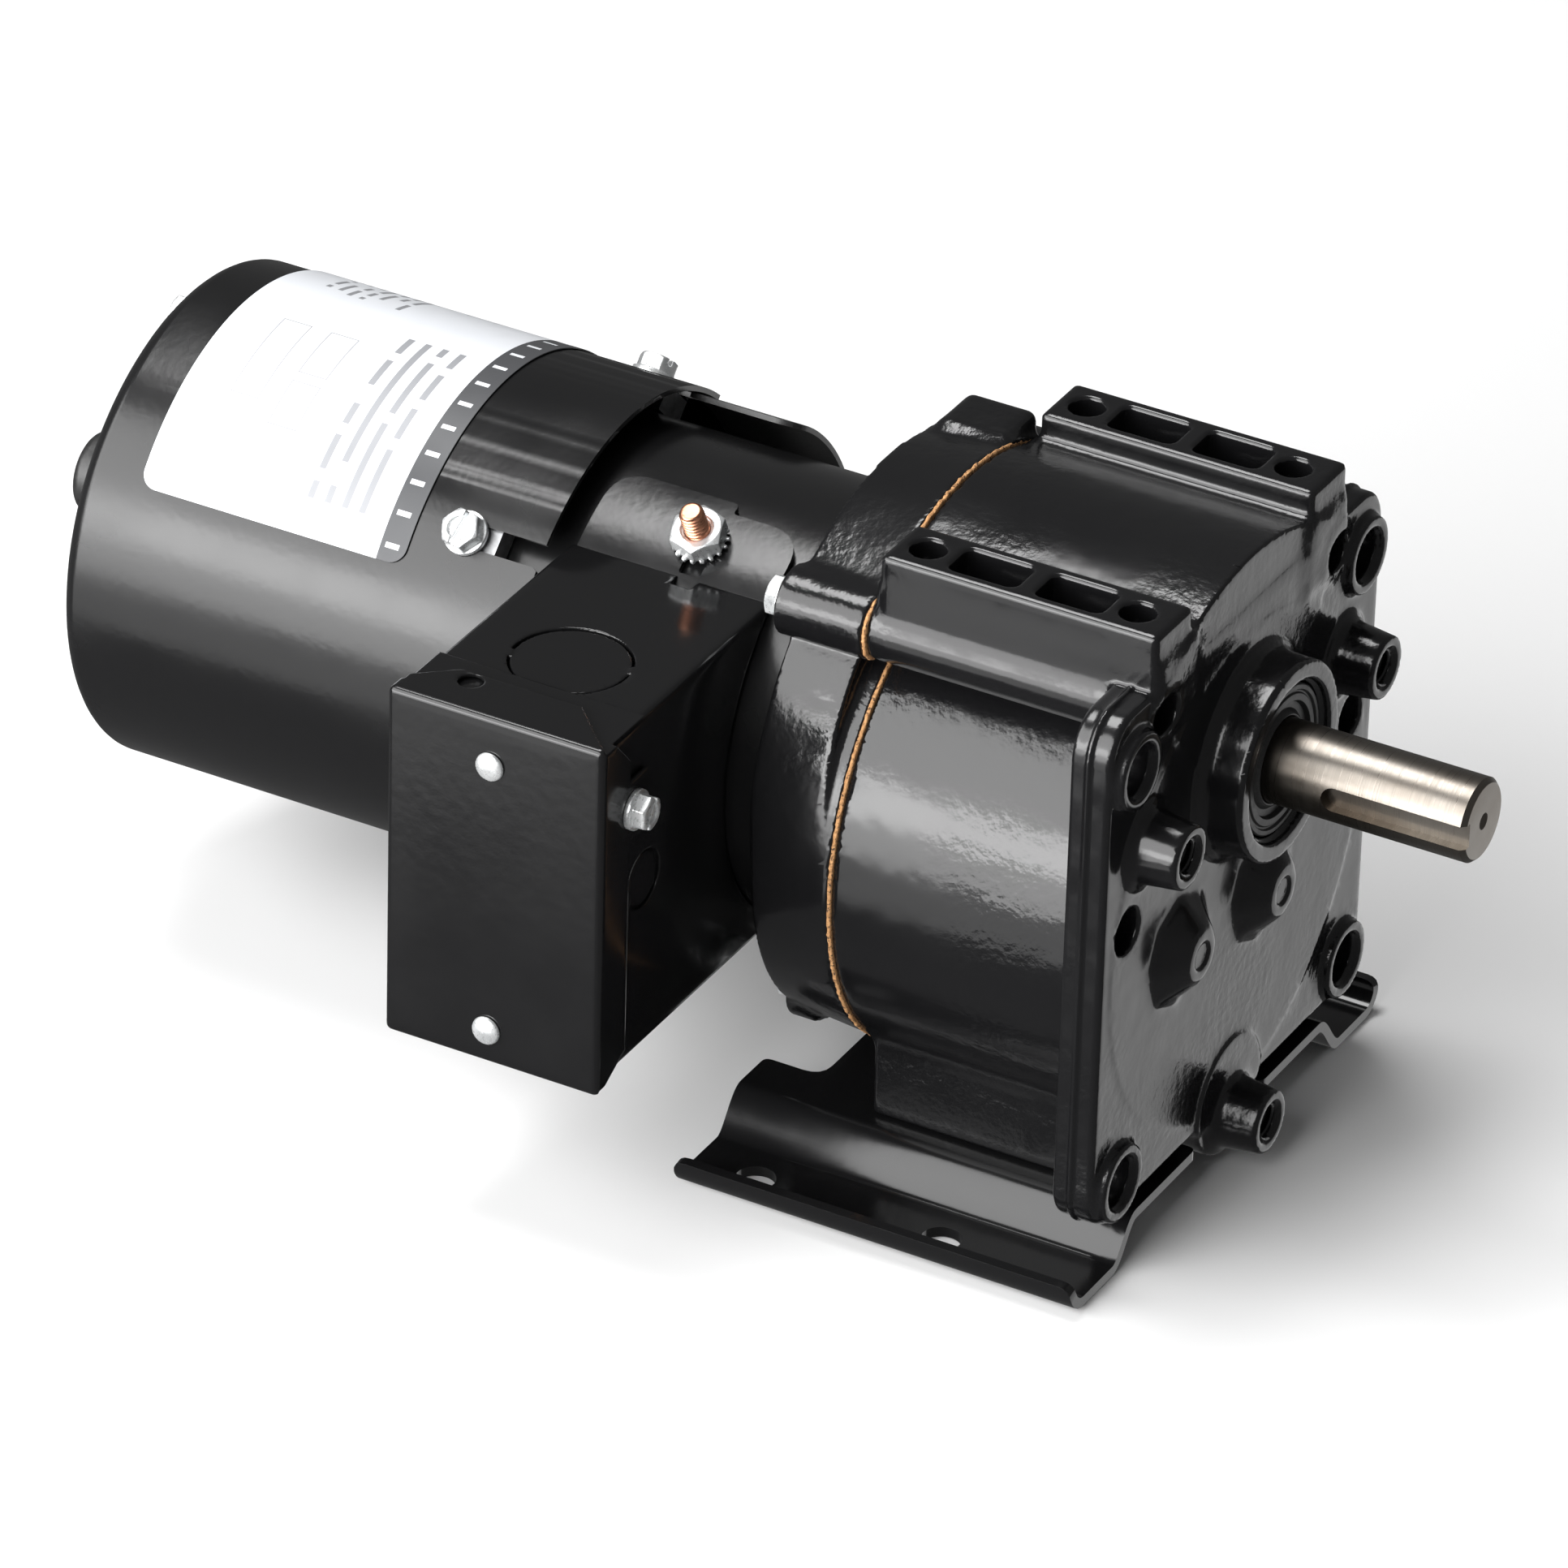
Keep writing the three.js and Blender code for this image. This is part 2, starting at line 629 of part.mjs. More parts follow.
function addCaseScrews() {
  CASE_SCREWS.forEach(([y, z], index) => {
    const { radius, height } = CASE_SCREW_HEAD;
    const made = joined(
      rodX(ADAPTER_REAR - height, ADAPTER_REAR - 0.05, radius, y, z, 6),
      rodX(ADAPTER_REAR - 0.1, CASE_SCREW_END, CASE_SCREW_RADIUS, y, z, 12),
    );
    add("gearcase_screw_" + (index + 1), FINISH.zinc, made);
  });
}

// ---------------------------------------------------------------- base plate
// Half of the bent section's middle line, from the deck outwards, as [y, z].
function baseMiddleLine() {
  const half = BASE.sheet / 2;
  const deck = BASE.deckTop - half;
  const points = [[0, deck]];
  const steps = 8;
  for (let i = 0; i <= steps; i += 1) {
    const part = i / steps;
    const y = BASE.deckHalf + part * (BASE.stepEnd - BASE.deckHalf);
    points.push([y, half + ((deck - half) * (1 + Math.cos(Math.PI * part))) / 2]);
  }
  for (let i = 0; i <= 6; i += 1) {
    const angle = ((Math.PI / 2) * i) / 6;
    const y = BASE_LIP.start + BASE_LIP.reach * Math.sin(angle);
    points.push([y, half + BASE_LIP.rise * (1 - Math.cos(angle))]);
  }
  return points;
}

// A closed outline round a bent sheet's middle line.
function sheetOutline(line, sheet) {
  const offset = (sign) =>
    line.map((point, index) => {
      const before = line[Math.max(0, index - 1)];
      const after = line[Math.min(line.length - 1, index + 1)];
      const length = Math.hypot(after[0] - before[0], after[1] - before[1]);
      const across = [-(after[1] - before[1]) / length, (after[0] - before[0]) / length];
      return new THREE.Vector2(
        point[0] + (sign * across[0] * sheet) / 2,
        point[1] + (sign * across[1] * sheet) / 2,
      );
    });
  return new THREE.Shape([...offset(1), ...offset(-1).reverse()]);
}

function addBasePlate() {
  const half = baseMiddleLine();
  const mirrored = half
    .slice(1)
    .reverse()
    .map(([y, z]) => [-y, z]);
  const sheet = pushX(sheetOutline([...mirrored, ...half], BASE.sheet), BASE.rear, BASE.front);
  const notch = (rear, front, half) =>
    pushZ(roundedRectangle(rear, front, -half, half, BASE_NOTCH.corner), 2, 15, 2);
  const rearNotch = notch(BASE.rear - 20, BASE_NOTCH.rear, BASE_NOTCH.rearHalf);
  const frontNotch = notch(BASE_NOTCH.front, BASE.front + 20, BASE_NOTCH.frontHalf);
  const footHoles = FOOT_HOLES.x.flatMap((x) =>
    [-1, 1].map((side) => rodZ(-1, 5, FOOT_HOLES.radius, x, side * FOOT_HOLES.y, 20)),
  );
  const screwClearance = BASE_SCREW.shank + 2 * FIT_GAP;
  const screwHolesDown = BASE_SCREWS.map(([x, y]) => rodZ(0, 15, screwClearance, x, y, 12));
  const made = cut(sheet, rearNotch, frontNotch, ...footHoles, ...screwHolesDown);
  add("base_plate", FINISH.paint, made);
}

function addBaseScrews() {
  const under = BASE.deckTop - BASE.sheet;
  const { shank, end, hex, washer, washerSheet, head } = BASE_SCREW;
  BASE_SCREWS.forEach(([x, y], index) => {
    const made = joined(
      rodZ(under - washerSheet - head, under - washerSheet, hex, x, y, 6),
      rodZ(under - washerSheet - 0.1, under - 0.05, washer, x, y, 16),
      rodZ(under - 0.1, end, shank, x, y, 12),
    );
    add("base_screw_" + (index + 1), FINISH.zinc, made);
  });
}

// ---------------------------------------------------------------- output shaft and gear train
const OUTPUT_SHAFT = { rear: -72.6, shoulder: -54, chamfer: 0.8 };
const RETAINING_RING = { gap: 0.2, sheet: 1.2, radius: 10.5 };
const SEAL = { rear: -8, front: -1.5, radius: 14.2 };

function addOutputShaft() {
  const { rear, shoulder, chamfer } = OUTPUT_SHAFT;
  const shaft = turnedX(
    [
      [rear, 0],
      [rear, OUTPUT_JOURNAL],
      [shoulder, OUTPUT_JOURNAL],
      [shoulder, SHAFT_RADIUS],
      [SHAFT_TIP - chamfer, SHAFT_RADIUS],
      [SHAFT_TIP, SHAFT_RADIUS - chamfer],
      [SHAFT_TIP, 0],
    ],
    0,
    SHAFT_HEIGHT,
    40,
  );
  const half = KEY_WIDTH / 2;
  const seat = new THREE.Shape();
  seat.moveTo(SHAFT_TIP + 1, SHAFT_HEIGHT + half);
  seat.lineTo(KEY_START + half, SHAFT_HEIGHT + half);
  seat.absarc(KEY_START + half, SHAFT_HEIGHT, half, Math.PI / 2, Math.PI * 1.5, false);
  seat.lineTo(SHAFT_TIP + 1, SHAFT_HEIGHT - half);
  const keySeat = pushY(seat, -SHAFT_RADIUS - 1, -SHAFT_RADIUS + KEY_DEPTH, 5);
  add("output_shaft", FINISH.steel, cut(shaft, keySeat));
  const bore = SHAFT_RADIUS + FIT_GAP;
  add("output_gear", FINISH.gearSteel, gearOf(STAGE_3, OUTPUT_AXIS, SECOND_AXIS, bore));
  const ringRear = STAGE_3.front + RETAINING_RING.gap;
  const ringFront = ringRear + RETAINING_RING.sheet;
  const ring = ringX(ringRear, ringFront, bore, RETAINING_RING.radius, 0, SHAFT_HEIGHT);
  add("output_retaining_ring", FINISH.gearSteel, ring);
}

function addOutputBearings() {
  const bore = SHAFT_RADIUS + FIT_GAP;
  const onShaft = (low, high, inner, outer, sides) =>
    ringX(low, high, inner, outer, 0, SHAFT_HEIGHT, sides);
  const { rear, front, radius } = OUTPUT_BEARING;
  add("output_bearing", FINISH.steel, onShaft(rear, front, bore, radius, 28));
  add("output_seal", FINISH.rubber, onShaft(SEAL.rear, SEAL.front, bore, SEAL.radius, 28));
  const bushBore = OUTPUT_JOURNAL + FIT_GAP;
  const bush = onShaft(REAR_BUSH.rear, REAR_BUSH.front, bushBore, OUTPUT_BUSH_RADIUS, 32);
  add("output_rear_bush", FINISH.bronze, bush);
}

function addCounterShafts() {
  const bore = JOURNAL_RADIUS + FIT_GAP;
  const shaft = (axis) =>
    rodX(COUNTERSHAFT.rear, COUNTERSHAFT.front, JOURNAL_RADIUS, axis.x, axis.y, 24);
  const firstShaft = joined(shaft(FIRST_AXIS), pinionOf(STAGE_2, FIRST_AXIS, SECOND_AXIS, 0));
  add("first_pinion_shaft", FINISH.gearSteel, firstShaft);
  add("first_gear", FINISH.gearSteel, gearOf(STAGE_1, FIRST_AXIS, MOTOR_AXIS, bore));
  const secondShaft = joined(shaft(SECOND_AXIS), pinionOf(STAGE_3, SECOND_AXIS, OUTPUT_AXIS, 0));
  add("second_pinion_shaft", FINISH.gearSteel, secondShaft);
  add("second_gear", FINISH.gearSteel, gearOf(STAGE_2, SECOND_AXIS, FIRST_AXIS, bore));
  const names = ["first_shaft", "second_shaft"];
  const bush = (place, axis) =>
    ringX(place.rear, place.front, bore, BUSH_RADIUS, axis.x, axis.y, 24);
  [FIRST_AXIS, SECOND_AXIS].forEach((axis, index) => {
    add(names[index] + "_rear_bush", FINISH.bronze, bush(REAR_BUSH, axis));
    add(names[index] + "_front_bush", FINISH.bronze, bush(FRONT_BUSH, axis));
  });
}

// ---------------------------------------------------------------- motor
const LEAD_HOLE = { x: [-118, -106], halfHeight: 6 };
const WINDING = { inner: 24, outer: 36, corner: 2, rear: -163.5, front: -92, gap: 0.3 };
const ROTOR_SHAFT = { rear: -224, step: -66, pinionSeat: 4 };
const END_RING = { inner: 12, outer: 20, length: 6 };
const ROTOR_GAP = 0.5;
const ROTOR_REAR_BEARING = { rear: -170, front: -161, radius: 13 };
const END_SHIELD = { rear: -172, hubFront: -160, hub: 15.6 };

function leadHole(y) {
  const { x, halfHeight } = LEAD_HOLE;
  return block(x, y, [MOTOR_AXIS_HEIGHT - halfHeight, MOTOR_AXIS_HEIGHT + halfHeight]);
}

function addMotor() {
  const inner = SHELL_RADIUS - SHELL_WALL;
  const z = MOTOR_AXIS_HEIGHT;
  const shell = ringX(SHELL_REAR, ADAPTER_REAR - 0.05, inner, SHELL_RADIUS, 0, z, 48);
  add("motor_shell", FINISH.paint, cut(shell, leadHole([-45, -30])));
  const core = ringX(STATOR_REAR, STATOR_FRONT, STATOR_BORE, inner - 0.25, 0, z, 36);
  add("stator_core", FINISH.lamination, core);
  const { corner } = WINDING;
  const winding = (low, high) =>
    turnedX(
      [
        [low, WINDING.inner + corner],
        [low, WINDING.outer - corner],
        [low + corner, WINDING.outer],
        [high - corner, WINDING.outer],
        [high, WINDING.outer - corner],
        [high, WINDING.inner + corner],
        [high - corner, WINDING.inner],
        [low + corner, WINDING.inner],
        [low, WINDING.inner + corner],
      ],
      0,
      z,
      24,
    );
  const front = winding(STATOR_FRONT + WINDING.gap, WINDING.front);
  const rear = winding(WINDING.rear, STATOR_REAR - WINDING.gap);
  add("stator_winding_front", FINISH.winding, front);
  add("stator_winding_rear", FINISH.winding, rear);
}

const BEARING_BORE = JOURNAL_RADIUS + FIT_GAP;

function addRotor() {
  const z = MOTOR_AXIS_HEIGHT;
  const { rear: shaftRear, step, pinionSeat } = ROTOR_SHAFT;
  const shaft = turnedX(
    [
      [shaftRear, 0],
      [shaftRear, JOURNAL_RADIUS],
      [step, JOURNAL_RADIUS],
      [step, pinionSeat],
      [STAGE_1.front + 0.5, pinionSeat],
      [STAGE_1.front + 0.5, 0],
    ],
    0,
    z,
    24,
  );
  add("rotor_shaft", FINISH.steel, shaft);
  const radius = STATOR_BORE - ROTOR_GAP;
  const { inner, outer, length } = END_RING;
  const core = turnedX(
    [
      [STATOR_REAR - length, inner],
      [STATOR_REAR - length, outer],
      [STATOR_REAR, outer],
      [STATOR_REAR, radius],
      [STATOR_FRONT, radius],
      [STATOR_FRONT, outer],
      [STATOR_FRONT + length, outer],
      [STATOR_FRONT + length, inner],
      [STATOR_FRONT, inner],
      [STATOR_FRONT, BEARING_BORE],
      [STATOR_REAR, BEARING_BORE],
      [STATOR_REAR, inner],
      [STATOR_REAR - length, inner],
    ],
    0,
    z,
    28,
  );
  add("rotor_core", FINISH.lamination, core);
  const pinion = pinionOf(STAGE_1, MOTOR_AXIS, FIRST_AXIS, pinionSeat + FIT_GAP);
  add("motor_pinion", FINISH.gearSteel, pinion);
  addFan();
  const bearing = ({ rear, front, radius: outside }) =>
    ringX(rear, front, BEARING_BORE, outside, 0, z);
  add("rotor_front_bearing", FINISH.steel, bearing(ROTOR_FRONT_BEARING));
  add("rotor_rear_bearing", FINISH.steel, bearing(ROTOR_REAR_BEARING));
}

function addFan() {
  const z = MOTOR_AXIS_HEIGHT;
  const { rear, front, hub, radius, disc } = FAN;
  const bladeFront = front - disc;
  const bladeInner = hub - 2;
  const blades = [];
  for (let i = 0; i < FAN.blades; i += 1) {
    const blade = new THREE.BoxGeometry(bladeFront - rear, FAN.blade, radius - bladeInner);
    blade.translate((rear + bladeFront) / 2, 0, (bladeInner + radius) / 2);
    blade.rotateX((i * 2 * Math.PI) / FAN.blades).translate(0, 0, z);
    blades.push(solid(blade));
  }
  const body = joined(
    rodX(rear, front, hub, 0, z, 24),
    rodX(bladeFront, front, radius, 0, z, 32),
    ...blades,
  );
  const bore = rodX(rear - 5, front + 5, BEARING_BORE, 0, z, 24);
  add("cooling_fan", FINISH.plastic, cut(body, bore));
}

const POST_ANGLES = [45, 135, 225, 315];
const POST_TOP = SHROUD_RADIUS - SHROUD_WALL - 0.4;
const POST = { halfWidth: 5, front: -144, root: 36, lift: 0.5, socket: 2 };

function addRearEndShield() {
  const z = MOTOR_AXIS_HEIGHT;
  const { rear, hubFront, hub } = END_SHIELD;
  const across = [-POST.halfWidth, POST.halfWidth];
  const disc = rodX(rear, SHELL_REAR - 0.05, SHELL_RADIUS, 0, z, 48);
  const boss = rodX(rear, hubFront, hub, 0, z, 32);
  const posts = POST_ANGLES.map((angle) => {
    const top = POST_TOP - POST.root;
    const foot = block([rear, SHELL_REAR - 0.2], across, [-6, top]);
    const tab = block([rear, POST.front], across, [SHELL_RADIUS + POST.lift - POST.root, top]);
    return onMotorRadius(joined(foot, tab), 0, angle, POST.root);
  });
  const seatRadius = ROTOR_REAR_BEARING.radius + FIT_GAP;
  const seat = rodX(ROTOR_REAR_BEARING.rear - 0.1, hubFront + 10, seatRadius, 0, z, 32);
  const shaftHole = rodX(rear - 8, hubFront + 10, JOURNAL_RADIUS + 0.6, 0, z, 24);
  const screwSockets = POST_ANGLES.map((angle) => {
    const socket = rodZ(-2, 9, POST.socket + FIT_GAP, 0, 0, 10);
    return onMotorRadius(socket, SHROUD_SCREW_X, angle, SHELL_RADIUS);
  });
  const made = cut(joined(disc, boss, ...posts), seat, shaftHole, ...screwSockets);
  add("rear_end_shield", FINISH.aluminium, made);
}

// The shroud's rounded rear edge as [x, radius] points, drawn in by the sheet's thickness.
function shoulder(inset, from, to) {
  const steps = 5;
  const points = [];
  for (let i = 0; i <= steps; i += 1) {
    const angle = THREE.MathUtils.degToRad(from + ((to - from) * i) / steps);
    points.push([
      SHROUD_BEND - (SHROUD_BEND - SHROUD_REAR - inset) * Math.sin(angle),
      SHROUD_RADIUS - SHROUD_SHOULDER + (SHROUD_SHOULDER - inset) * Math.cos(angle),
    ]);
  }
  return points;
}

function addShroud() {
  const z = MOTOR_AXIS_HEIGHT;
  const hole = PLUG.shank + FIT_GAP;
  const wall = SHROUD_WALL;
  const slope = 2; // how far the cup's rounded corner runs along its face
  const profile = [
    [SHROUD_FRONT, SHROUD_RADIUS],
    ...shoulder(0, 0, 90),
    [SHROUD_REAR, CUP.foot],
    [CUP.rear + slope, CUP.top + 1.5],
    [CUP.rear, CUP.top - slope],
    [CUP.rear, hole],
    [CUP.rear + wall, hole],
    [CUP.rear + wall, CUP.top - slope - wall / 2],
    [CUP.rear + slope + wall, CUP.top + 1.5 - wall],
    [SHROUD_REAR + wall, CUP.foot - wall],
    ...shoulder(wall, 90, 0),
    [SHROUD_FRONT, SHROUD_RADIUS - wall],
    [SHROUD_FRONT, SHROUD_RADIUS],
  ];
  const skin = turnedX(profile, 0, z, 44);
  const slotWidth = SHROUD_SLOT.halfWidth;
  const frontSlots = POST_ANGLES.map((angle) => {
    const along = [SHROUD_SCREW_X - slotWidth, SHROUD_FRONT + 1];
    const slot = block(along, [-slotWidth, slotWidth], [-4, 4]);
    return onMotorRadius(slot, 0, angle, SHROUD_RADIUS);
  });
  const intakes = [];
  for (let i = 0; i < INTAKES.count; i += 1) {
    const degrees = REAR_SCREW.angles[0] + ((i + 0.5) * 360) / INTAKES.count;
    const across = [-INTAKES.width / 2, INTAKES.width / 2];
    const inFace = block([SHROUD_REAR - 2, SHROUD_REAR + 3], across, INTAKES.face);
    const inCup = block([CUP.rear - 2, CUP.rear + 1.6], across, INTAKES.cup);
    intakes.push(onMotorRadius(inFace, 0, degrees, 0), onMotorRadius(inCup, 0, degrees, 0));
  }
  const rearHoles = REAR_SCREW.angles.map((angle) => {
    const drill = rodX(SHROUD_REAR - 3, SHROUD_REAR + 5, SHROUD_SCREW.shank + FIT_GAP, 0, 0, 10);
    return onMotorRadius(drill, 0, angle, REAR_SCREW.radius);
  });
  add("fan_shroud", FINISH.paint, cut(skin, ...frontSlots, ...intakes, ...rearHoles));
  addHubPlug();
}

function addHubPlug() {
  const face = CUP.rear - 0.05;
  const profile = [
    [PLUG.end, 0],
    [PLUG.end, PLUG.radius - 1],
    [PLUG.end + 1, PLUG.radius],
    [face, PLUG.radius],
    [face, PLUG.shank],
    [CUP.rear + 4, PLUG.shank],
    [CUP.rear + 4, 0],
  ];
  add("rear_hub_plug", FINISH.plastic, turnedX(profile, 0, MOTOR_AXIS_HEIGHT, 28));
}

// A slotted hex-washer screw along +Z: its washer rests on z = 0.
const WASHER_TOP = 1.05;
const SCREW_SLOT = { halfWidth: 0.5, depth: 1.2 };

function slottedScrew({ washer, hex, height, shank, length }) {
  const head = joined(
    rodZ(0.05, WASHER_TOP, washer, 0, 0, 16),
    rodZ(WASHER_TOP - 0.05, height, hex, 0, 0, 6),
    rodZ(-length, 0.1, shank, 0, 0, 10),
  );
  const { halfWidth, depth } = SCREW_SLOT;
  const slot = block([-washer, washer], [-halfWidth, halfWidth], [height - depth, height + 1]);
  return cut(head, slot);
}

const SHROUD_SLOT = { halfWidth: 2.2 };
const SHROUD_SCREW = { washer: 4.25, hex: 3.9, height: 4, shank: 2, length: 6.5 };
const SHROUD_REAR_SCREW = { washer: 3.9, hex: 3.5, height: 5.4, shank: 2, length: 5 };

function addShroudScrews() {
  POST_ANGLES.forEach((angle, index) => {
    const screw = slottedScrew(SHROUD_SCREW);
    const made = onMotorRadius(screw, SHROUD_SCREW_X, angle, SHROUD_RADIUS);
    add("shroud_screw_" + (index + 1), FINISH.zinc, made);
  });
  REAR_SCREW.angles.forEach((angle, index) => {
    const backwards = new THREE.Matrix4().makeRotationY(-Math.PI / 2);
    const screw = slottedScrew(SHROUD_REAR_SCREW).transform(backwards.elements);
    const made = onMotorRadius(screw, SHROUD_REAR, angle, REAR_SCREW.radius);
    add("shroud_rear_screw_" + (index + 1), FINISH.zinc, made);
  });
}

const LABEL = { rear: -215.4, front: -160, from: 36, to: 146, lift: 0.15, film: 0.25 };
const BAFFLE = { rear: -137, front: -113, from: 16, to: 62, inner: 45, outer: 46 };

function addShroudTrim() {
  const z = MOTOR_AXIS_HEIGHT;
  const strip = bentBand(BAFFLE.inner, BAFFLE.outer, BAFFLE.from, BAFFLE.to, z);
  add("air_baffle", FINISH.plastic, pushX(strip, BAFFLE.rear, BAFFLE.front, 4));
  const inner = SHROUD_RADIUS + LABEL.lift;
  const band = bentBand(inner, inner + LABEL.film, LABEL.from, LABEL.to, z);
  add("nameplate_label", FINISH.label, pushX(band, LABEL.rear, LABEL.front, 14));
}

// ---------------------------------------------------------------- conduit box
const SIDE_SCREW = { y: -76.9, high: 88.6, low: 47, hole: 1.6 };
const STUD = { x: -109.6, degrees: 117.5, radius: 2.4, top: 51.6 };
const COVER_SHEET = 1;
const COVER_FACE_SHEET = 1.2;
const COVER_TAB = { edge: -71.5, halfHeight: 6 };
const TAB_GAP = { x: [-107.9, -106.7], y: [-26, 0] }; // the slit that frees the saddle's front tab
const LANCE = { x: [-110.6, -106.4], y: [-29, -25.6] };
const RIVETS = [
  [-113, 95.8],
  [-113, 41],
];

function addConduitBox() {
  const z = MOTOR_AXIS_HEIGHT;
  const saddleOuter = SADDLE.inner + SHEET;
  const outside = block([BOX.rear, BOX.front], [BOX.face, 0], [BOX.bottom, BOX.top]);
  const inside = block(
    [BOX.rear + SHEET, BOX.front - SHEET],
    [BOX.face - 1, 1],
    [BOX.bottom + SHEET, BOX.top - SHEET],
  );
  const saddleRoom = rodX(BOX.rear - 7, BOX.front + 7, saddleOuter - 0.3, 0, z, 60);
  const walls = cut(outside, inside, saddleRoom);
  const { rear, front, halfAngle } = SADDLE;
  const band = bentBand(SADDLE.inner, saddleOuter, 180 - halfAngle, 180 + halfAngle, z);
  const saddle = pushX(band, rear, front, 14);
  const tabGap = block(TAB_GAP.x, TAB_GAP.y, [z, z + 60]);
  const lance = block(LANCE.x, LANCE.y, [BOX.top - 3, BOX.top + 1]);
  const { y: screwY, high, low, hole } = SIDE_SCREW;
  const screwHolesSide = [
    rodX(BOX.front - 3, BOX.front + 1, hole, screwY, high, 16),
    rodX(BOX.rear - 1, BOX.rear + 3, hole, screwY, low, 16),
  ];
  const { y: discY, z: discZ, inner, outer } = SIDE_KNOCKOUT;
  const sideGroove = ringX(
    BOX.front - KNOCKOUT.depth,
    BOX.front + 1,
    inner,
    outer,
    discY,
    discZ,
    20,
  );
  const made = cut(
    joined(walls, saddle),
    tabGap,
    leadHole([-60, -20]),
    lance,
    knockoutGroove(),
    sideGroove,
    ...screwHolesSide,
  );
  add("conduit_box", FINISH.paint, made);
}

// A shallow ring cut that marks the round knock-out in the top of the box.
function knockoutGroove() {
  const { x, y, radius, groove, depth } = KNOCKOUT;
  const outline = new THREE.Shape();
  outline.absarc(x, y, radius, 0, 2 * Math.PI, false);
  const inner = new THREE.Path();
  inner.absarc(x, y, radius - groove, 0, 2 * Math.PI, true);
  outline.holes.push(inner);
  return pushZ(outline, BOX.top - depth, BOX.top + 1, 12);
}

function addConduitBoxCover() {
  const gap = COVER_CLEARANCE;
  const reach = gap + COVER_SHEET;
  const low = { x: BOX.rear - reach, z: BOX.bottom - reach };
  const high = { x: BOX.front + reach, z: BOX.top + reach };
  const faceY = BOX.face - gap - COVER_FACE_SHEET;
  const outside = block([low.x, high.x], [faceY, COVER_FLANGE], [low.z, high.z]);
  const inside = block(
    [BOX.rear - gap, BOX.front + gap],
    [BOX.face - gap, 0],
    [BOX.bottom - gap, BOX.top + gap],
  );
  const tab = (x, z) => {
    const height = [z - COVER_TAB.halfHeight, z + COVER_TAB.halfHeight];
    return block(x, [COVER_FLANGE - 1, COVER_TAB.edge], height);
  };
  const tabs = [
    tab([high.x - COVER_SHEET, high.x], SIDE_SCREW.high),
    tab([low.x, low.x + COVER_SHEET], SIDE_SCREW.low),
  ];
  const rivetHoles = RIVETS.map(([x, z]) => {
    const hole = new THREE.Shape();
    hole.absarc(x, z, 1.6, 0, 2 * Math.PI, false);
    return pushY(hole, faceY - 2, BOX.face + 2, 5);
  });
  const { y, high: highZ, low: lowZ, hole } = SIDE_SCREW;
  const sideHoles = [
    rodX(high.x - 2, high.x + 1, hole, y, highZ, 16),
    rodX(low.x - 1, low.x + 2, hole, y, lowZ, 16),
  ];
  const made = cut(joined(cut(outside, inside), ...tabs), ...rivetHoles, ...sideHoles);
  add("conduit_box_cover", FINISH.paint, made);
}

const COVER_SCREW = { washer: 3.9, hex: 3.4, height: 3.8, shank: 1.5, length: 6 };

function addBoxFasteners() {
  const coverFace = BOX.face - COVER_CLEARANCE - COVER_FACE_SHEET;
  RIVETS.forEach(([x, z], index) => {
    const points = [
      [0, 0],
      [1.4, 0],
      [1.4, 3.4],
      [2.8, 3.45],
      [2.5, 4.1],
      [1.4, 4.6],
      [0, 4.7],
    ].map(([radius, y]) => new THREE.Vector2(radius, -y));
    const geometry = new THREE.LatheGeometry(points, 14).translate(x, coverFace + 3.4, z);
    add("cover_rivet_" + (index + 1), FINISH.zinc, solid(geometry));
  });
  const sides = [
    ["cover_screw_front", BOX.front + COVER_CLEARANCE + COVER_SHEET, SIDE_SCREW.high, Math.PI / 2],
    ["cover_screw_rear", BOX.rear - COVER_CLEARANCE - COVER_SHEET, SIDE_SCREW.low, -Math.PI / 2],
  ];
  for (const [name, x, z, turn] of sides) {
    const rotate = new THREE.Matrix4().makeRotationY(turn);
    const place = new THREE.Matrix4().makeTranslation(x, SIDE_SCREW.y, z);
    const screw = slottedScrew(COVER_SCREW);
    add(name, FINISH.zinc, screw.transform(place.multiply(rotate).elements));
  }
}

const GROUND_NUT = { washer: 5.3, hex: 5.4, washerTop: 1.2, top: 4.4 };

function addGroundStud() {
  const seat = SADDLE.inner + SHEET;
  const stud = rodZ(0.1, STUD.top - seat, STUD.radius, 0, 0, 20);
  add("ground_stud", FINISH.copper, onMotorRadius(stud, STUD.x, STUD.degrees, seat));
  const { washer, hex, washerTop, top } = GROUND_NUT;
  const nut = joined(
    rodZ(0.15, washerTop, washer, 0, 0, 24),
    rodZ(washerTop - 0.1, top, hex, 0, 0, 6),
  );
  const bored = cut(nut, rodZ(-1, 9, STUD.radius + FIT_GAP, 0, 0, 20));
  add("ground_nut", FINISH.zinc, onMotorRadius(bored, STUD.x, STUD.degrees, seat));
}

// ---------------------------------------------------------------- assembly
addGearcase();
addGasket();
addAdapter();
addCaseScrews();
addBasePlate();
addBaseScrews();
addOutputShaft();
addOutputBearings();
addCounterShafts();
addMotor();
addRotor();
addRearEndShield();
addShroud();
addShroudScrews();
addShroudTrim();
addConduitBox();
addConduitBoxCover();
addBoxFasteners();
addGroundStud();

// The part's own origin is the middle of its bounding box, on the floor.
const bounds = new THREE.Box3().setFromObject(model);
const middle = bounds.getCenter(new THREE.Vector3());
model.position.set(-middle.x, -middle.y, -bounds.min.z);

const part = new THREE.Group();
part.add(model);
export default part;
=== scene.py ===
"""A fan-cooled AC gearmotor with a conduit box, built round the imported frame.

Pieces are modelled in millimetres from the design datum: x = 0 at the output boss face, y = 0 on
the shafts' middle plane and z = 0 on the floor. place() turns them into the frame's metres.
"""

import math

import bmesh
import bpy
import numpy as np
import openvdb
from mathutils import Matrix, Vector


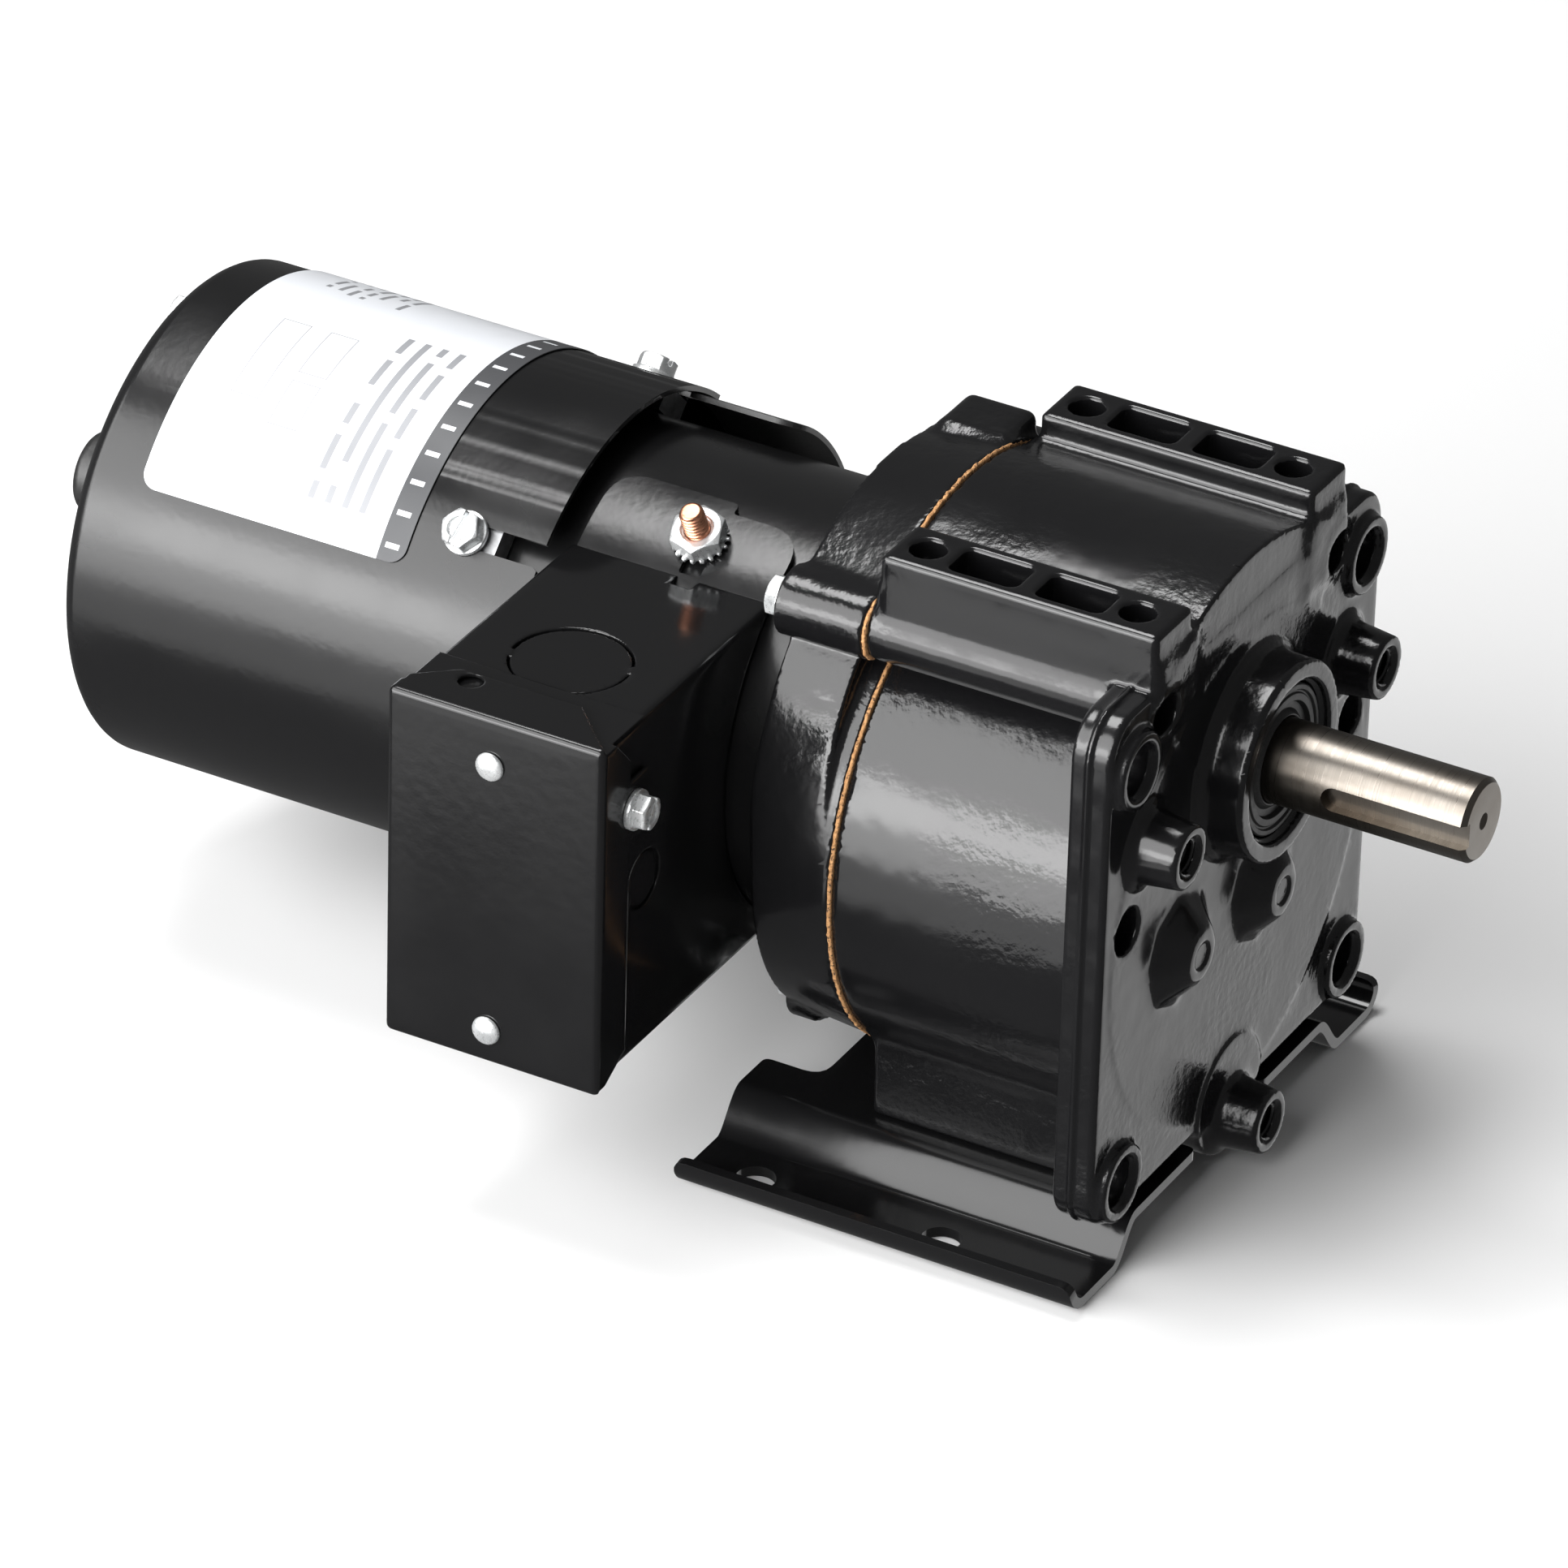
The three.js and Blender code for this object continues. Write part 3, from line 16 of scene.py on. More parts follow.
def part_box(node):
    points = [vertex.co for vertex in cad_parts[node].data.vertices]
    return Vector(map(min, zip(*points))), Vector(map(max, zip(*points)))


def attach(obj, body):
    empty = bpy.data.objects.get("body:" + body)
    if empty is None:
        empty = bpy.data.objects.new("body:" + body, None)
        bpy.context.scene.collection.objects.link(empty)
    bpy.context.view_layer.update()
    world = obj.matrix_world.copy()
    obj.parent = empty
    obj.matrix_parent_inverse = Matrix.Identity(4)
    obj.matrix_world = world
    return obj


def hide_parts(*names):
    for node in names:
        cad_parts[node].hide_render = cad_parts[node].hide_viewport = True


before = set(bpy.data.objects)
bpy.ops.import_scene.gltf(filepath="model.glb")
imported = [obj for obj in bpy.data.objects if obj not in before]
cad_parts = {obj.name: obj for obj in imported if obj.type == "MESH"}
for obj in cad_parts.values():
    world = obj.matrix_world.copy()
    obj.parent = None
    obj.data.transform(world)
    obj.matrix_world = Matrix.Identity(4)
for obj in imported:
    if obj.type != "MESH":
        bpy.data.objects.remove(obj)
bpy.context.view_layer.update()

# ---------------------------------------------------------------- the datum, read from the frame
SHAFT_TIP = 38.2  # the output shaft's end, from the boss face
datum_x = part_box("output_shaft")[1].x * 1000 - SHAFT_TIP
case_low, case_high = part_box("gearcase")
datum_y = (case_low.y + case_high.y) * 500
datum_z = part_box("base_plate")[0].z * 1000
TO_FRAME = Matrix.Scale(0.001, 4) @ Matrix.Translation((datum_x, datum_y, datum_z))

SHAFT_Z, MOTOR_Z = 87.0, 71.1  # heights of the output and motor axes
SHELL_R, SHROUD_R = 40.5, 47.4  # outside radii of the motor shell and the fan shroud
FACE_X = -9.3  # the flat front of the gearcase
ROOT = "gearmotor_frame"


# ---------------------------------------------------------------- making pieces
def new_object(name, mesh):
    obj = bpy.data.objects.new(name, mesh)
    bpy.context.scene.collection.objects.link(obj)
    return obj


def mesh_of(name, verts, faces):
    mesh = bpy.data.meshes.new(name)
    mesh.from_pydata([tuple(v) for v in verts], [], [tuple(f) for f in faces])
    mesh.update()
    return mesh


def mesh_from_bmesh(name, bm):
    mesh = bpy.data.meshes.new(name)
    bm.to_mesh(mesh)
    bm.free()
    return mesh


def solid_of(name, verts, faces, weld=0.0):
    """A closed mesh, welded if asked, with its faces turned outwards."""
    bm = bmesh.new()
    bm.from_mesh(mesh_of(name, verts, faces))
    if weld:
        bmesh.ops.remove_doubles(bm, verts=bm.verts[:], dist=weld)
    bmesh.ops.recalc_face_normals(bm, faces=bm.faces[:])
    return mesh_from_bmesh(name, bm)


def modified(mesh, *steps):
    """The mesh after a list of (modifier type, settings), applied."""
    obj = new_object("working", mesh)
    for kind, settings in steps:
        modifier = obj.modifiers.new(kind.lower(), kind)
        for key, value in settings.items():
            setattr(modifier, key, value)
    deps = bpy.context.evaluated_depsgraph_get()
    made = bpy.data.meshes.new_from_object(
        obj.evaluated_get(deps), preserve_all_data_layers=True, depsgraph=deps
    )
    bpy.data.objects.remove(obj)
    return made


def rounded(mesh, width, segments=2, angle=35, thickness=None):
    """Sheet thickness, if any, then small bevels on the sharp edges and flat-weighted normals."""
    steps = []
    if thickness:
        solid = {"thickness": thickness, "offset": 0.0, "use_even_offset": True}
        steps.append(("SOLIDIFY", solid))
    if width:
        bevel = {
            "width": width,
            "segments": segments,
            "limit_method": "ANGLE",
            "angle_limit": math.radians(angle),
            "miter_outer": "MITER_ARC",
            "use_clamp_overlap": True,
        }
        steps.append(("BEVEL", bevel))
    made = modified(mesh, *steps)
    made.shade_smooth()
    made.set_sharp_from_angle(angle=math.radians(40))
    return modified(made, ("WEIGHTED_NORMAL", {"keep_sharp": True, "weight": 50}))


def booled(mesh, cutter):
    """The mesh with the cutter mesh taken away."""
    tool = new_object("cutter", cutter)
    settings = {"object": tool, "operation": "DIFFERENCE", "solver": "EXACT"}
    mesh = modified(mesh, ("BOOLEAN", settings))
    bpy.data.objects.remove(tool)
    return mesh


def joined(name, meshes):
    """Several meshes as one, each with its own surface."""
    bm = bmesh.new()
    for mesh in meshes:
        bm.from_mesh(mesh)
    made = mesh_from_bmesh(name, bm)
    made.shade_smooth()
    return made


def place(name, mesh, material, body, nodes, slot, at=None):
    """Makes the piece: millimetres to the frame's metres, riding on its body."""
    if at is not None:
        mesh = mesh.copy()
        mesh.transform(at)
    mesh.transform(TO_FRAME)
    paint(mesh, material)
    mesh.name = name
    obj = new_object(name, mesh)
    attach(obj, body)
    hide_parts(*nodes)


def paint(mesh, material):
    mesh.materials.clear()
    mesh.materials.append(material)


# ---------------------------------------------------------------- outlines
def arc(cx, cy, r, start, end, steps):
    """Points on an arc, angles in degrees, both ends included."""
    angles = np.radians(np.linspace(start, end, steps + 1))
    return [(cx + r * math.cos(a), cy + r * math.sin(a)) for a in angles]


def circle(cx, cy, r, steps=32):
    return arc(cx, cy, r, 0, 360, steps)[:-1]


def rounded_rect(left, right, low, high, r, steps=6):
    points = arc(right - r, low + r, r, -90, 0, steps)
    points += arc(right - r, high - r, r, 0, 90, steps)
    points += arc(left + r, high - r, r, 90, 180, steps)
    points += arc(left + r, low + r, r, 180, 270, steps)
    return points


def rounded_outline(corners, steps=4):
    """A closed outline of (x, y, corner radius)."""
    points = []
    count = len(corners)
    for i, (x, y, r) in enumerate(corners):
        here = Vector((x, y))
        before = (Vector(corners[i - 1][:2]) - here).normalized()
        after = (Vector(corners[(i + 1) % count][:2]) - here).normalized()
        if r <= 0:
            points.append((x, y))
            continue
        half = before.angle(after) / 2
        reach = r / math.tan(half)
        start, end = here + before * reach, here + after * reach
        for k in range(steps + 1):
            t = k / steps
            a, b = start.lerp(here, t), here.lerp(end, t)
            points.append(tuple(a.lerp(b, t)))
    return points


def flat_fill(outline, holes=()):
    """A bmesh of the flat outline with its holes."""
    bm = bmesh.new()
    for loop in [outline, *holes]:
        verts = [bm.verts.new((u, v, 0)) for u, v in loop]
        for a, b in zip(verts, verts[1:] + verts[:1]):
            bm.edges.new((a, b))
    bmesh.ops.triangle_fill(bm, use_beauty=True, use_dissolve=False, edges=bm.edges[:])
    return bm


def sheet(outline, holes, bend, v_lines):
    """A flat pattern in (u, v), split along the v lines, then bent by bend(u, v) -> x, y, z."""
    bm = flat_fill(outline, holes)
    for at in v_lines:
        whole = bm.verts[:] + bm.edges[:] + bm.faces[:]
        bmesh.ops.bisect_plane(
            bm, geom=whole, plane_co=(0, at, 0), plane_no=(0, 1, 0), dist=1e-5
        )
    flat = [v.co.copy() for v in bm.verts]
    for vert, co in zip(bm.verts, flat):
        vert.co = bend(co.x, co.y)
    bmesh.ops.remove_doubles(bm, verts=bm.verts[:], dist=1e-3)
    bmesh.ops.recalc_face_normals(bm, faces=bm.faces[:])
    return mesh_from_bmesh("sheet", bm)


def face_outward(mesh, centre):
    """Turns an open sheet's faces to look away from centre(p), given for each face's middle p."""
    bm = bmesh.new()
    bm.from_mesh(mesh)
    total = sum(
        f.normal.dot(f.calc_center_median() - centre(f.calc_center_median())) * f.calc_area()
        for f in bm.faces
    )
    if total < 0:
        bmesh.ops.reverse_faces(bm, faces=bm.faces[:])
    return mesh_from_bmesh("sheet", bm)


def wrapped(outline, radius, ends, strips, bevel, segments, thickness, holes=()):
    """A sheet round the motor axis: outline (x, v), with v the arc length from the +Y side."""
    start, end = ends
    bends = [start + (end - start) * k / strips for k in range(1, strips)]

    def bend(x, v):
        a = v / radius
        return x, radius * math.cos(a), MOTOR_Z + radius * math.sin(a)

    flat = sheet(outline, holes, bend, bends)
    flat = face_outward(flat, lambda p: Vector((p.x, 0, MOTOR_Z)))
    return rounded(flat, bevel, segments, 50, thickness)


def around_motor(degrees):
    turn = Matrix.Rotation(math.radians(degrees), 4, "X")
    return Matrix.Translation((0, 0, MOTOR_Z)) @ turn


def lathe_x(profile, y=0.0, z=0.0, sides=96, closed=False):
    """[x, r] points turned round the X axis through (y, z)."""
    rings = len(profile)
    angles = np.linspace(0, 2 * math.pi, sides, endpoint=False)
    verts = [(x, y + r * math.cos(a), z + r * math.sin(a)) for x, r in profile for a in angles]
    faces = []
    for i in range(rings if closed else rings - 1):
        n = (i + 1) % rings
        for k in range(sides):
            j = (k + 1) % sides
            faces.append((i * sides + k, i * sides + j, n * sides + j, n * sides + k))
    return solid_of("lathe", verts, faces, 1e-4)


def extruded(outline, low, high, axis):
    """A solid prism of an outline; axis x takes (y, z) points and axis y takes (x, z)."""
    place_point = {
        "x": lambda p, h: (h, p[0], p[1]),
        "y": lambda p, h: (p[0], h, p[1]),
    }[axis]
    count = len(outline)
    verts = [place_point(p, h) for h in (low, high) for p in outline]
    faces = [tuple(range(count)), tuple(range(2 * count - 1, count - 1, -1))]
    for k in range(count):
        j = (k + 1) % count
        faces.append((k, k + count, j + count, j))
    return solid_of("prism", verts, faces)


# ---------------------------------------------------------------- cast shapes as distance fields
class Casting:
    """A solid kept as a distance field on a grid, so that joins and cuts get cast fillets."""

    def __init__(self, low, high, step):
        self.low, self.step = np.array(low, np.float32), np.array(step, np.float32)
        counts = np.ceil((np.array(high) - self.low) / self.step).astype(int) + 1
        axes = [self.low[i] + self.step[i] * np.arange(counts[i]) for i in range(3)]
        axes = [a.astype(np.float32) for a in axes]
        self.x, self.y, self.z = np.meshgrid(*axes, indexing="ij", sparse=True)
        self.field = np.full(tuple(counts), 99.0, np.float32)

    def join(self, shape, k=0.0):
        self.field = smooth_low(self.field, shape, k)

    def cut(self, shape, k=0.0):
        self.field = -smooth_low(-self.field, shape, k)

    def rod(self, x0, x1, y, z, r, taper=0.0):
        """A cylinder along X; taper is how much its radius grows per mm towards x0."""
        radius = np.hypot(self.y - y, self.z - z) - r - taper * (x1 - self.x)
        return np.maximum(radius, np.maximum(x0 - self.x, self.x - x1))

    def upright(self, z0, z1, x, y, r):
        radius = np.hypot(self.x - x, self.y - y) - r
        return np.maximum(radius, np.maximum(z0 - self.z, self.z - z1))

    def block(self, x, y, z, r=0.0):
        reach = []
        for axis, (low, high) in ((self.x, x), (self.y, y), (self.z, z)):
            reach.append(np.abs(axis - (low + high) / 2) - (high - low) / 2 + r)
        outside = np.sqrt(sum(np.maximum(q, 0) ** 2 for q in reach))
        inside = np.minimum(np.maximum(np.maximum(reach[0], reach[1]), reach[2]), 0)
        return outside + inside - r

    def plate(self, x, y, z, corner, edge):
        """A plate across X with rounded corners and edges."""
        half_y, half_z = (y[1] - y[0]) / 2, (z[1] - z[0]) / 2
        qy = np.abs(self.y - (y[0] + y[1]) / 2) - half_y + corner
        qz = np.abs(self.z - (z[0] + z[1]) / 2) - half_z + corner
        flat = np.hypot(np.maximum(qy, 0), np.maximum(qz, 0)) + np.minimum(np.maximum(qy, qz), 0)
        flat = flat - corner + edge
        thick = np.abs(self.x - (x[0] + x[1]) / 2) - (x[1] - x[0]) / 2 + edge
        outside = np.hypot(np.maximum(flat, 0), np.maximum(thick, 0))
        return outside + np.minimum(np.maximum(flat, thick), 0) - edge

    def sector(self, x0, x1, r, spread, taper=0.0):
        """The crown: part of a cylinder round the motor axis, spread degrees each side of +Z."""
        dy, dz = self.y, self.z - MOTOR_Z
        side = math.radians(spread)
        edge = np.abs(dy) * math.cos(side) - dz * math.sin(side)
        round_part = np.hypot(dy, dz) - r - taper * (x1 - self.x)
        return np.maximum(np.maximum(round_part, edge), np.maximum(x0 - self.x, self.x - x1))

    def octagon(self, y, z, base, top, x0, x1, k=0.8):
        """An eight-sided frustum rising along +X."""
        slope = (base - top) / (x1 - x0)
        lean = 1 / math.hypot(1, slope)
        shape = self.x - x1
        shape = np.broadcast_to(shape, self.field.shape)
        for i in range(8):
            a = math.radians(22.5 + 45 * i)
            along = (self.y - y) * math.cos(a) + (self.z - z) * math.sin(a)
            side = (along - base + (self.x - x0) * slope) * lean
            shape = -smooth_low(-shape, -side, k)
        return np.maximum(shape, x0 - 3 - self.x)

    def mesh(self, adaptivity):
        grid = openvdb.FloatGrid()
        grid.copyFromArray(self.field)
        points, triangles, quads = grid.convertToPolygons(0.0, adaptivity)
        faces = [tuple(f[::-1]) for f in triangles] + [tuple(f[::-1]) for f in quads]
        made = solid_of("casting", points * self.step + self.low, faces)
        made.shade_smooth()
        return made


def smooth_low(a, b, k):
    """The lower of two fields, blended over a width of k millimetres."""
    if k <= 0:
        return np.minimum(a, b)
    h = np.clip(0.5 + 0.5 * (b - a) / k, 0, 1)
    return b + (a - b) * h - k * h * (1 - h)


def kept_out(hollow, shape, k):
    """A hollow that leaves a shape standing in it, blended over k millimetres."""
    return -smooth_low(-hollow, shape, k)


# ---------------------------------------------------------------- materials
class Nodes:
    """A material's node tree, built up by short calls."""

    def __init__(self, name):
        self.material = bpy.data.materials.new(name)
        self.material.use_nodes = True
        self.tree = self.material.node_tree
        self.shader = self.tree.nodes["Principled BSDF"]
        self.place = self.add("ShaderNodeTexCoord").outputs["Object"]

    def add(self, kind, **inputs):
        node = self.tree.nodes.new(kind)
        for key, value in inputs.items():
            self.set(node, key, value)
        return node

    def set(self, node, key, value):
        socket = node.inputs[key.replace("_", " ")] if isinstance(key, str) else node.inputs[key]
        if isinstance(value, bpy.types.NodeSocket):
            self.tree.links.new(value, socket)
        else:
            socket.default_value = value

    def mapped(self, scale):
        return self.add("ShaderNodeMapping", Vector=self.place, Scale=scale).outputs["Vector"]

    def noise(self, scale, detail=2.0, roughness=0.5, vector=None):
        node = self.add(
            "ShaderNodeTexNoise",
            Vector=vector or self.place,
            Scale=scale,
            Detail=detail,
            Roughness=roughness,
        )
        return node.outputs["Fac"]

    def ramp(self, value, *stops):
        node = self.add("ShaderNodeValToRGB", Fac=value)
        while len(node.color_ramp.elements) < len(stops):
            node.color_ramp.elements.new(0.5)
        for element, (at, colour) in zip(node.color_ramp.elements, stops):
            element.position = at
            grey = isinstance(colour, (int, float))
            element.color = (colour, colour, colour, 1) if grey else (*colour, 1)
        return node.outputs["Color"]

    def mix(self, factor, a, b):
        node = self.add("ShaderNodeMix")
        node.data_type = "RGBA"
        self.set(node, 0, factor)
        for index, value in ((6, a), (7, b)):
            linked = isinstance(value, bpy.types.NodeSocket)
            self.set(node, index, value if linked else (*value, 1))
        return node.outputs[2]

    def maths(self, operation, a, b=0.5):
        node = self.add("ShaderNodeMath")
        node.operation = operation
        self.set(node, 0, a)
        self.set(node, 1, b)
        return node.outputs[0]

    def bump(self, height, distance, strength=1.0, under=None):
        node = self.add("ShaderNodeBump", Height=height, Distance=distance, Strength=strength)
        if under:
            self.set(node, "Normal", under)
        return node.outputs["Normal"]

    def finish(self, **inputs):
        for key, value in inputs.items():
            self.set(self.shader, key, value)
        return self.material


def black_paint(name, peel, peel_size, rough, grey=0.011):
    """Black enamel: orange peel at peel_size per metre, fine dust and an uneven gloss."""
    n = Nodes(name)
    wave = n.noise(peel_size, 1.5, 0.4)
    fine = n.noise(2600, 2.0, 0.5)
    broad = n.noise(38, 3.0, 0.55)
    gloss = n.ramp(broad, (0.3, rough * 0.75), (0.75, rough * 1.35))
    dust = n.ramp(n.noise(900, 4.0, 0.75), (0.66, 0.0), (0.78, 0.35))
    colour = n.mix(dust, (grey, grey, grey * 1.05), (grey * 3, grey * 2.8, grey * 2.6))
    normal = n.bump(wave, peel)
    normal = n.bump(fine, 0.000004, 0.5, normal)
    return n.finish(Base_Color=colour, Roughness=gloss, Normal=normal, Specular_IOR_Level=0.5)


def cast_paint():
    """Thick enamel on a die casting: smooth runs, with patches of pebbled orange peel."""
    n = Nodes("cast_paint")
    patches = n.ramp(n.noise(24, 2.0, 0.5), (0.42, 0.06), (0.62, 1.0))
    pebbles = n.noise(620, 2.5, 0.5)
    swell = n.noise(150, 1.0, 0.4)
    height = n.maths("MULTIPLY", pebbles, patches)
    broad = n.noise(30, 3.0, 0.55)
    gloss = n.ramp(broad, (0.3, 0.13), (0.72, 0.22))
    dust = n.ramp(n.noise(1100, 4.0, 0.75), (0.68, 0.0), (0.80, 0.4))
    colour = n.mix(dust, (0.006, 0.006, 0.0065), (0.028, 0.026, 0.024))
    normal = n.bump(height, 0.00012)
    normal = n.bump(swell, 0.00014, 1.0, normal)
    return n.finish(Base_Color=colour, Roughness=gloss, Normal=normal, Specular_IOR_Level=0.55)


def plated(name, dark, light, rough):
    """Bright zinc plate: cloudy bands, fine scratches and a faint blue-white tone."""
    n = Nodes(name)
    cloud = n.noise(420, 4.0, 0.6)
    scratch = n.noise(1800, 3.0, 0.6, n.mapped((1, 0.15, 0.6)))
    colour = n.mix(n.ramp(cloud, (0.3, 0.0), (0.7, 1.0)), dark, light)
    gloss = n.ramp(scratch, (0.3, rough * 0.7), (0.75, rough * 1.5))
    normal = n.bump(scratch, 0.000012)
    return n.finish(Base_Color=colour, Metallic=0.72, Roughness=gloss, Normal=normal)


def turned_steel(name, tone, stain):
    """Ground shaft steel: rings of fine machining lines, straw-brown stains and handling marks."""
    n = Nodes(name)
    rings = n.noise(900, 2.0, 0.6, n.mapped((9, 0.02, 0.02)))
    smear = n.noise(70, 4.0, 0.6, n.mapped((0.5, 1, 1)))
    colour = n.mix(n.ramp(smear, (0.38, 0.0), (0.66, 1.0)), tone, stain)
    colour = n.mix(n.ramp(rings, (0.35, 0.0), (0.7, 0.35)), colour, [c * 0.62 for c in tone])
    gloss = n.ramp(rings, (0.25, 0.24), (0.75, 0.42))
    normal = n.bump(rings, 0.00001)
    return n.finish(Base_Color=colour, Metallic=1.0, Roughness=gloss, Normal=normal)


def plain_metal(name, tone, rough, grain):
    n = Nodes(name)
    cloud = n.noise(grain, 4.0, 0.6)
    colour = n.mix(n.ramp(cloud, (0.3, 0.0), (0.7, 1.0)), [c * 0.7 for c in tone], tone)
    gloss = n.ramp(cloud, (0.3, rough * 0.8), (0.7, rough * 1.25))
    normal = n.bump(cloud, 0.00002)
    return n.finish(Base_Color=colour, Metallic=1.0, Roughness=gloss, Normal=normal)


def laminations(name, tone):
    """Stacked sheets: thin lines across the X axis."""
    n = Nodes(name)
    wave = n.add("ShaderNodeTexWave", Vector=n.place)
    wave.bands_direction = "X"
    wave.inputs["Scale"].default_value = 320
    colour = n.mix(wave.outputs["Fac"], [c * 0.5 for c in tone], tone)
    normal = n.bump(wave.outputs["Fac"], 0.00005)
    return n.finish(Base_Color=colour, Metallic=0.9, Roughness=0.45, Normal=normal)


def windings(name):
    """Enamelled wire: strands that run round the coil under a film of varnish."""
    n = Nodes(name)
    strands = n.noise(1500, 2.0, 0.5, n.mapped((3, 1, 1)))
    between = n.ramp(strands, (0.35, 0.0), (0.65, 1.0))
    colour = n.mix(between, (0.13, 0.035, 0.012), (0.50, 0.17, 0.06))
    normal = n.bump(strands, 0.0002)
    return n.finish(Base_Color=colour, Metallic=0.35, Roughness=0.3, Normal=normal, Coat_Weight=0.4)


def fibre_gasket():
    """Cork and fibre sheet: tan crumbs with dark flecks."""
    n = Nodes("gasket_fibre")
    crumbs = n.noise(1400, 3.0, 0.7)
    flecks = n.ramp(n.noise(1900, 2.0, 0.6), (0.36, 1.0), (0.45, 0.0))
    dark, tan, pale = (0.30, 0.14, 0.05), (0.52, 0.27, 0.11), (0.68, 0.42, 0.20)
    colour = n.ramp(crumbs, (0.3, dark), (0.55, tan), (0.8, pale))
    colour = n.mix(flecks, colour, (0.06, 0.03, 0.015))
    normal = n.bump(crumbs, 0.00025)
    return n.finish(Base_Color=colour, Roughness=0.85, Normal=normal)


def rubber(name, grey, rough):
    n = Nodes(name)
    grain = n.noise(1600, 3.0, 0.6)
    colour = n.mix(n.ramp(grain, (0.4, 0.0), (0.8, 1.0)), [grey] * 3, [grey * 2.2] * 3)
    normal = n.bump(grain, 0.00003)
    gloss = n.ramp(grain, (0.3, rough * 0.85), (0.8, rough * 1.15))
    return n.finish(Base_Color=colour, Roughness=gloss, Normal=normal)


CAST = cast_paint()
SHEET = black_paint("sheet_paint", 0.00002, 260, 0.15, 0.007)
SHROUD = black_paint("shroud_paint", 0.00002, 700, 0.22, 0.007)
BOX = black_paint("box_paint", 0.000012, 380, 0.13, 0.007)
ZINC = plated("zinc_plate", (0.66, 0.68, 0.69), (0.92, 0.93, 0.93), 0.30)
COPPER = plain_metal("copper_thread", (0.78, 0.36, 0.22), 0.32, 700)
STEEL = turned_steel("shaft_steel", (0.24, 0.22, 0.195), (0.17, 0.145, 0.12))
BEARING = turned_steel("bearing_steel", (0.56, 0.56, 0.56), (0.44, 0.43, 0.42))
GEAR = turned_steel("gear_steel", (0.34, 0.34, 0.35), (0.24, 0.23, 0.22))
BRONZE = plain_metal("sintered_bronze", (0.46, 0.31, 0.15), 0.5, 1500)
ALUMINIUM = plain_metal("cast_aluminium", (0.62, 0.63, 0.64), 0.42, 600)
LAMINATED = laminations("lamination_steel", (0.20, 0.20, 0.21))
WINDING = windings("winding_wire")
GASKET = fibre_gasket()
SEAL = rubber("seal_rubber", 0.016, 0.45)
PLASTIC = rubber("black_plastic", 0.014, 0.40)


# ---------------------------------------------------------------- gearcase
# places across the shafts are (y, z)
TUBE = (32.9, 111.2)  # the long tube under each rail, on the +Y side
CORNERS = [(side * 43.8, z) for side in (-1, 1) for z in (19.6, 105.3)]
STANDOFFS = [(-38.1, SHAFT_Z), (38.1, SHAFT_Z), (0.0, 10.8)]
GEAR_AXES = ((-23.38, 57.6), (8.45, 54.32))
LOWER_SCREWS = [(-24.0, 26.5), (24.0, 26.5)]
CASE_SCREWS = [(-TUBE[0], TUBE[1]), TUBE, *LOWER_SCREWS]
CASE_SCREW_BORE, BUSH_POCKET = 2.6, 8.15
BASE_SCREWS = [(x, y) for x in (-52, -20) for y in (-22, 22)]
CASE_REAR, ADAPTER_FRONT, SCREW_SEAT = -65.6, -66.4, -84
BODY_Z, BODY_R, CROWN_R, CROWN_SPREAD = 62, 48.5, 55.6, 40
CAVITY_R, CAVITY_CROWN_R, CAVITY_SPREAD = 44.5, 51.6, 32
RAIL_TOP = 127.85
PLATE_BACK = -17.5  # the back of the square front plate
FINE = 0.45


def case_section(c, x0, x1, taper=0.0):
    c.join(c.rod(x0, x1, 0, BODY_Z, BODY_R, taper))
    c.join(c.sector(x0, x1, CROWN_R, CROWN_SPREAD, taper), 2.5)


def case_hollow(c, x0, x1):
    crown = c.sector(x0, x1, CAVITY_CROWN_R, CAVITY_SPREAD)
    return smooth_low(c.rod(x0, x1, 0, BODY_Z, CAVITY_R), crown, 3.0)


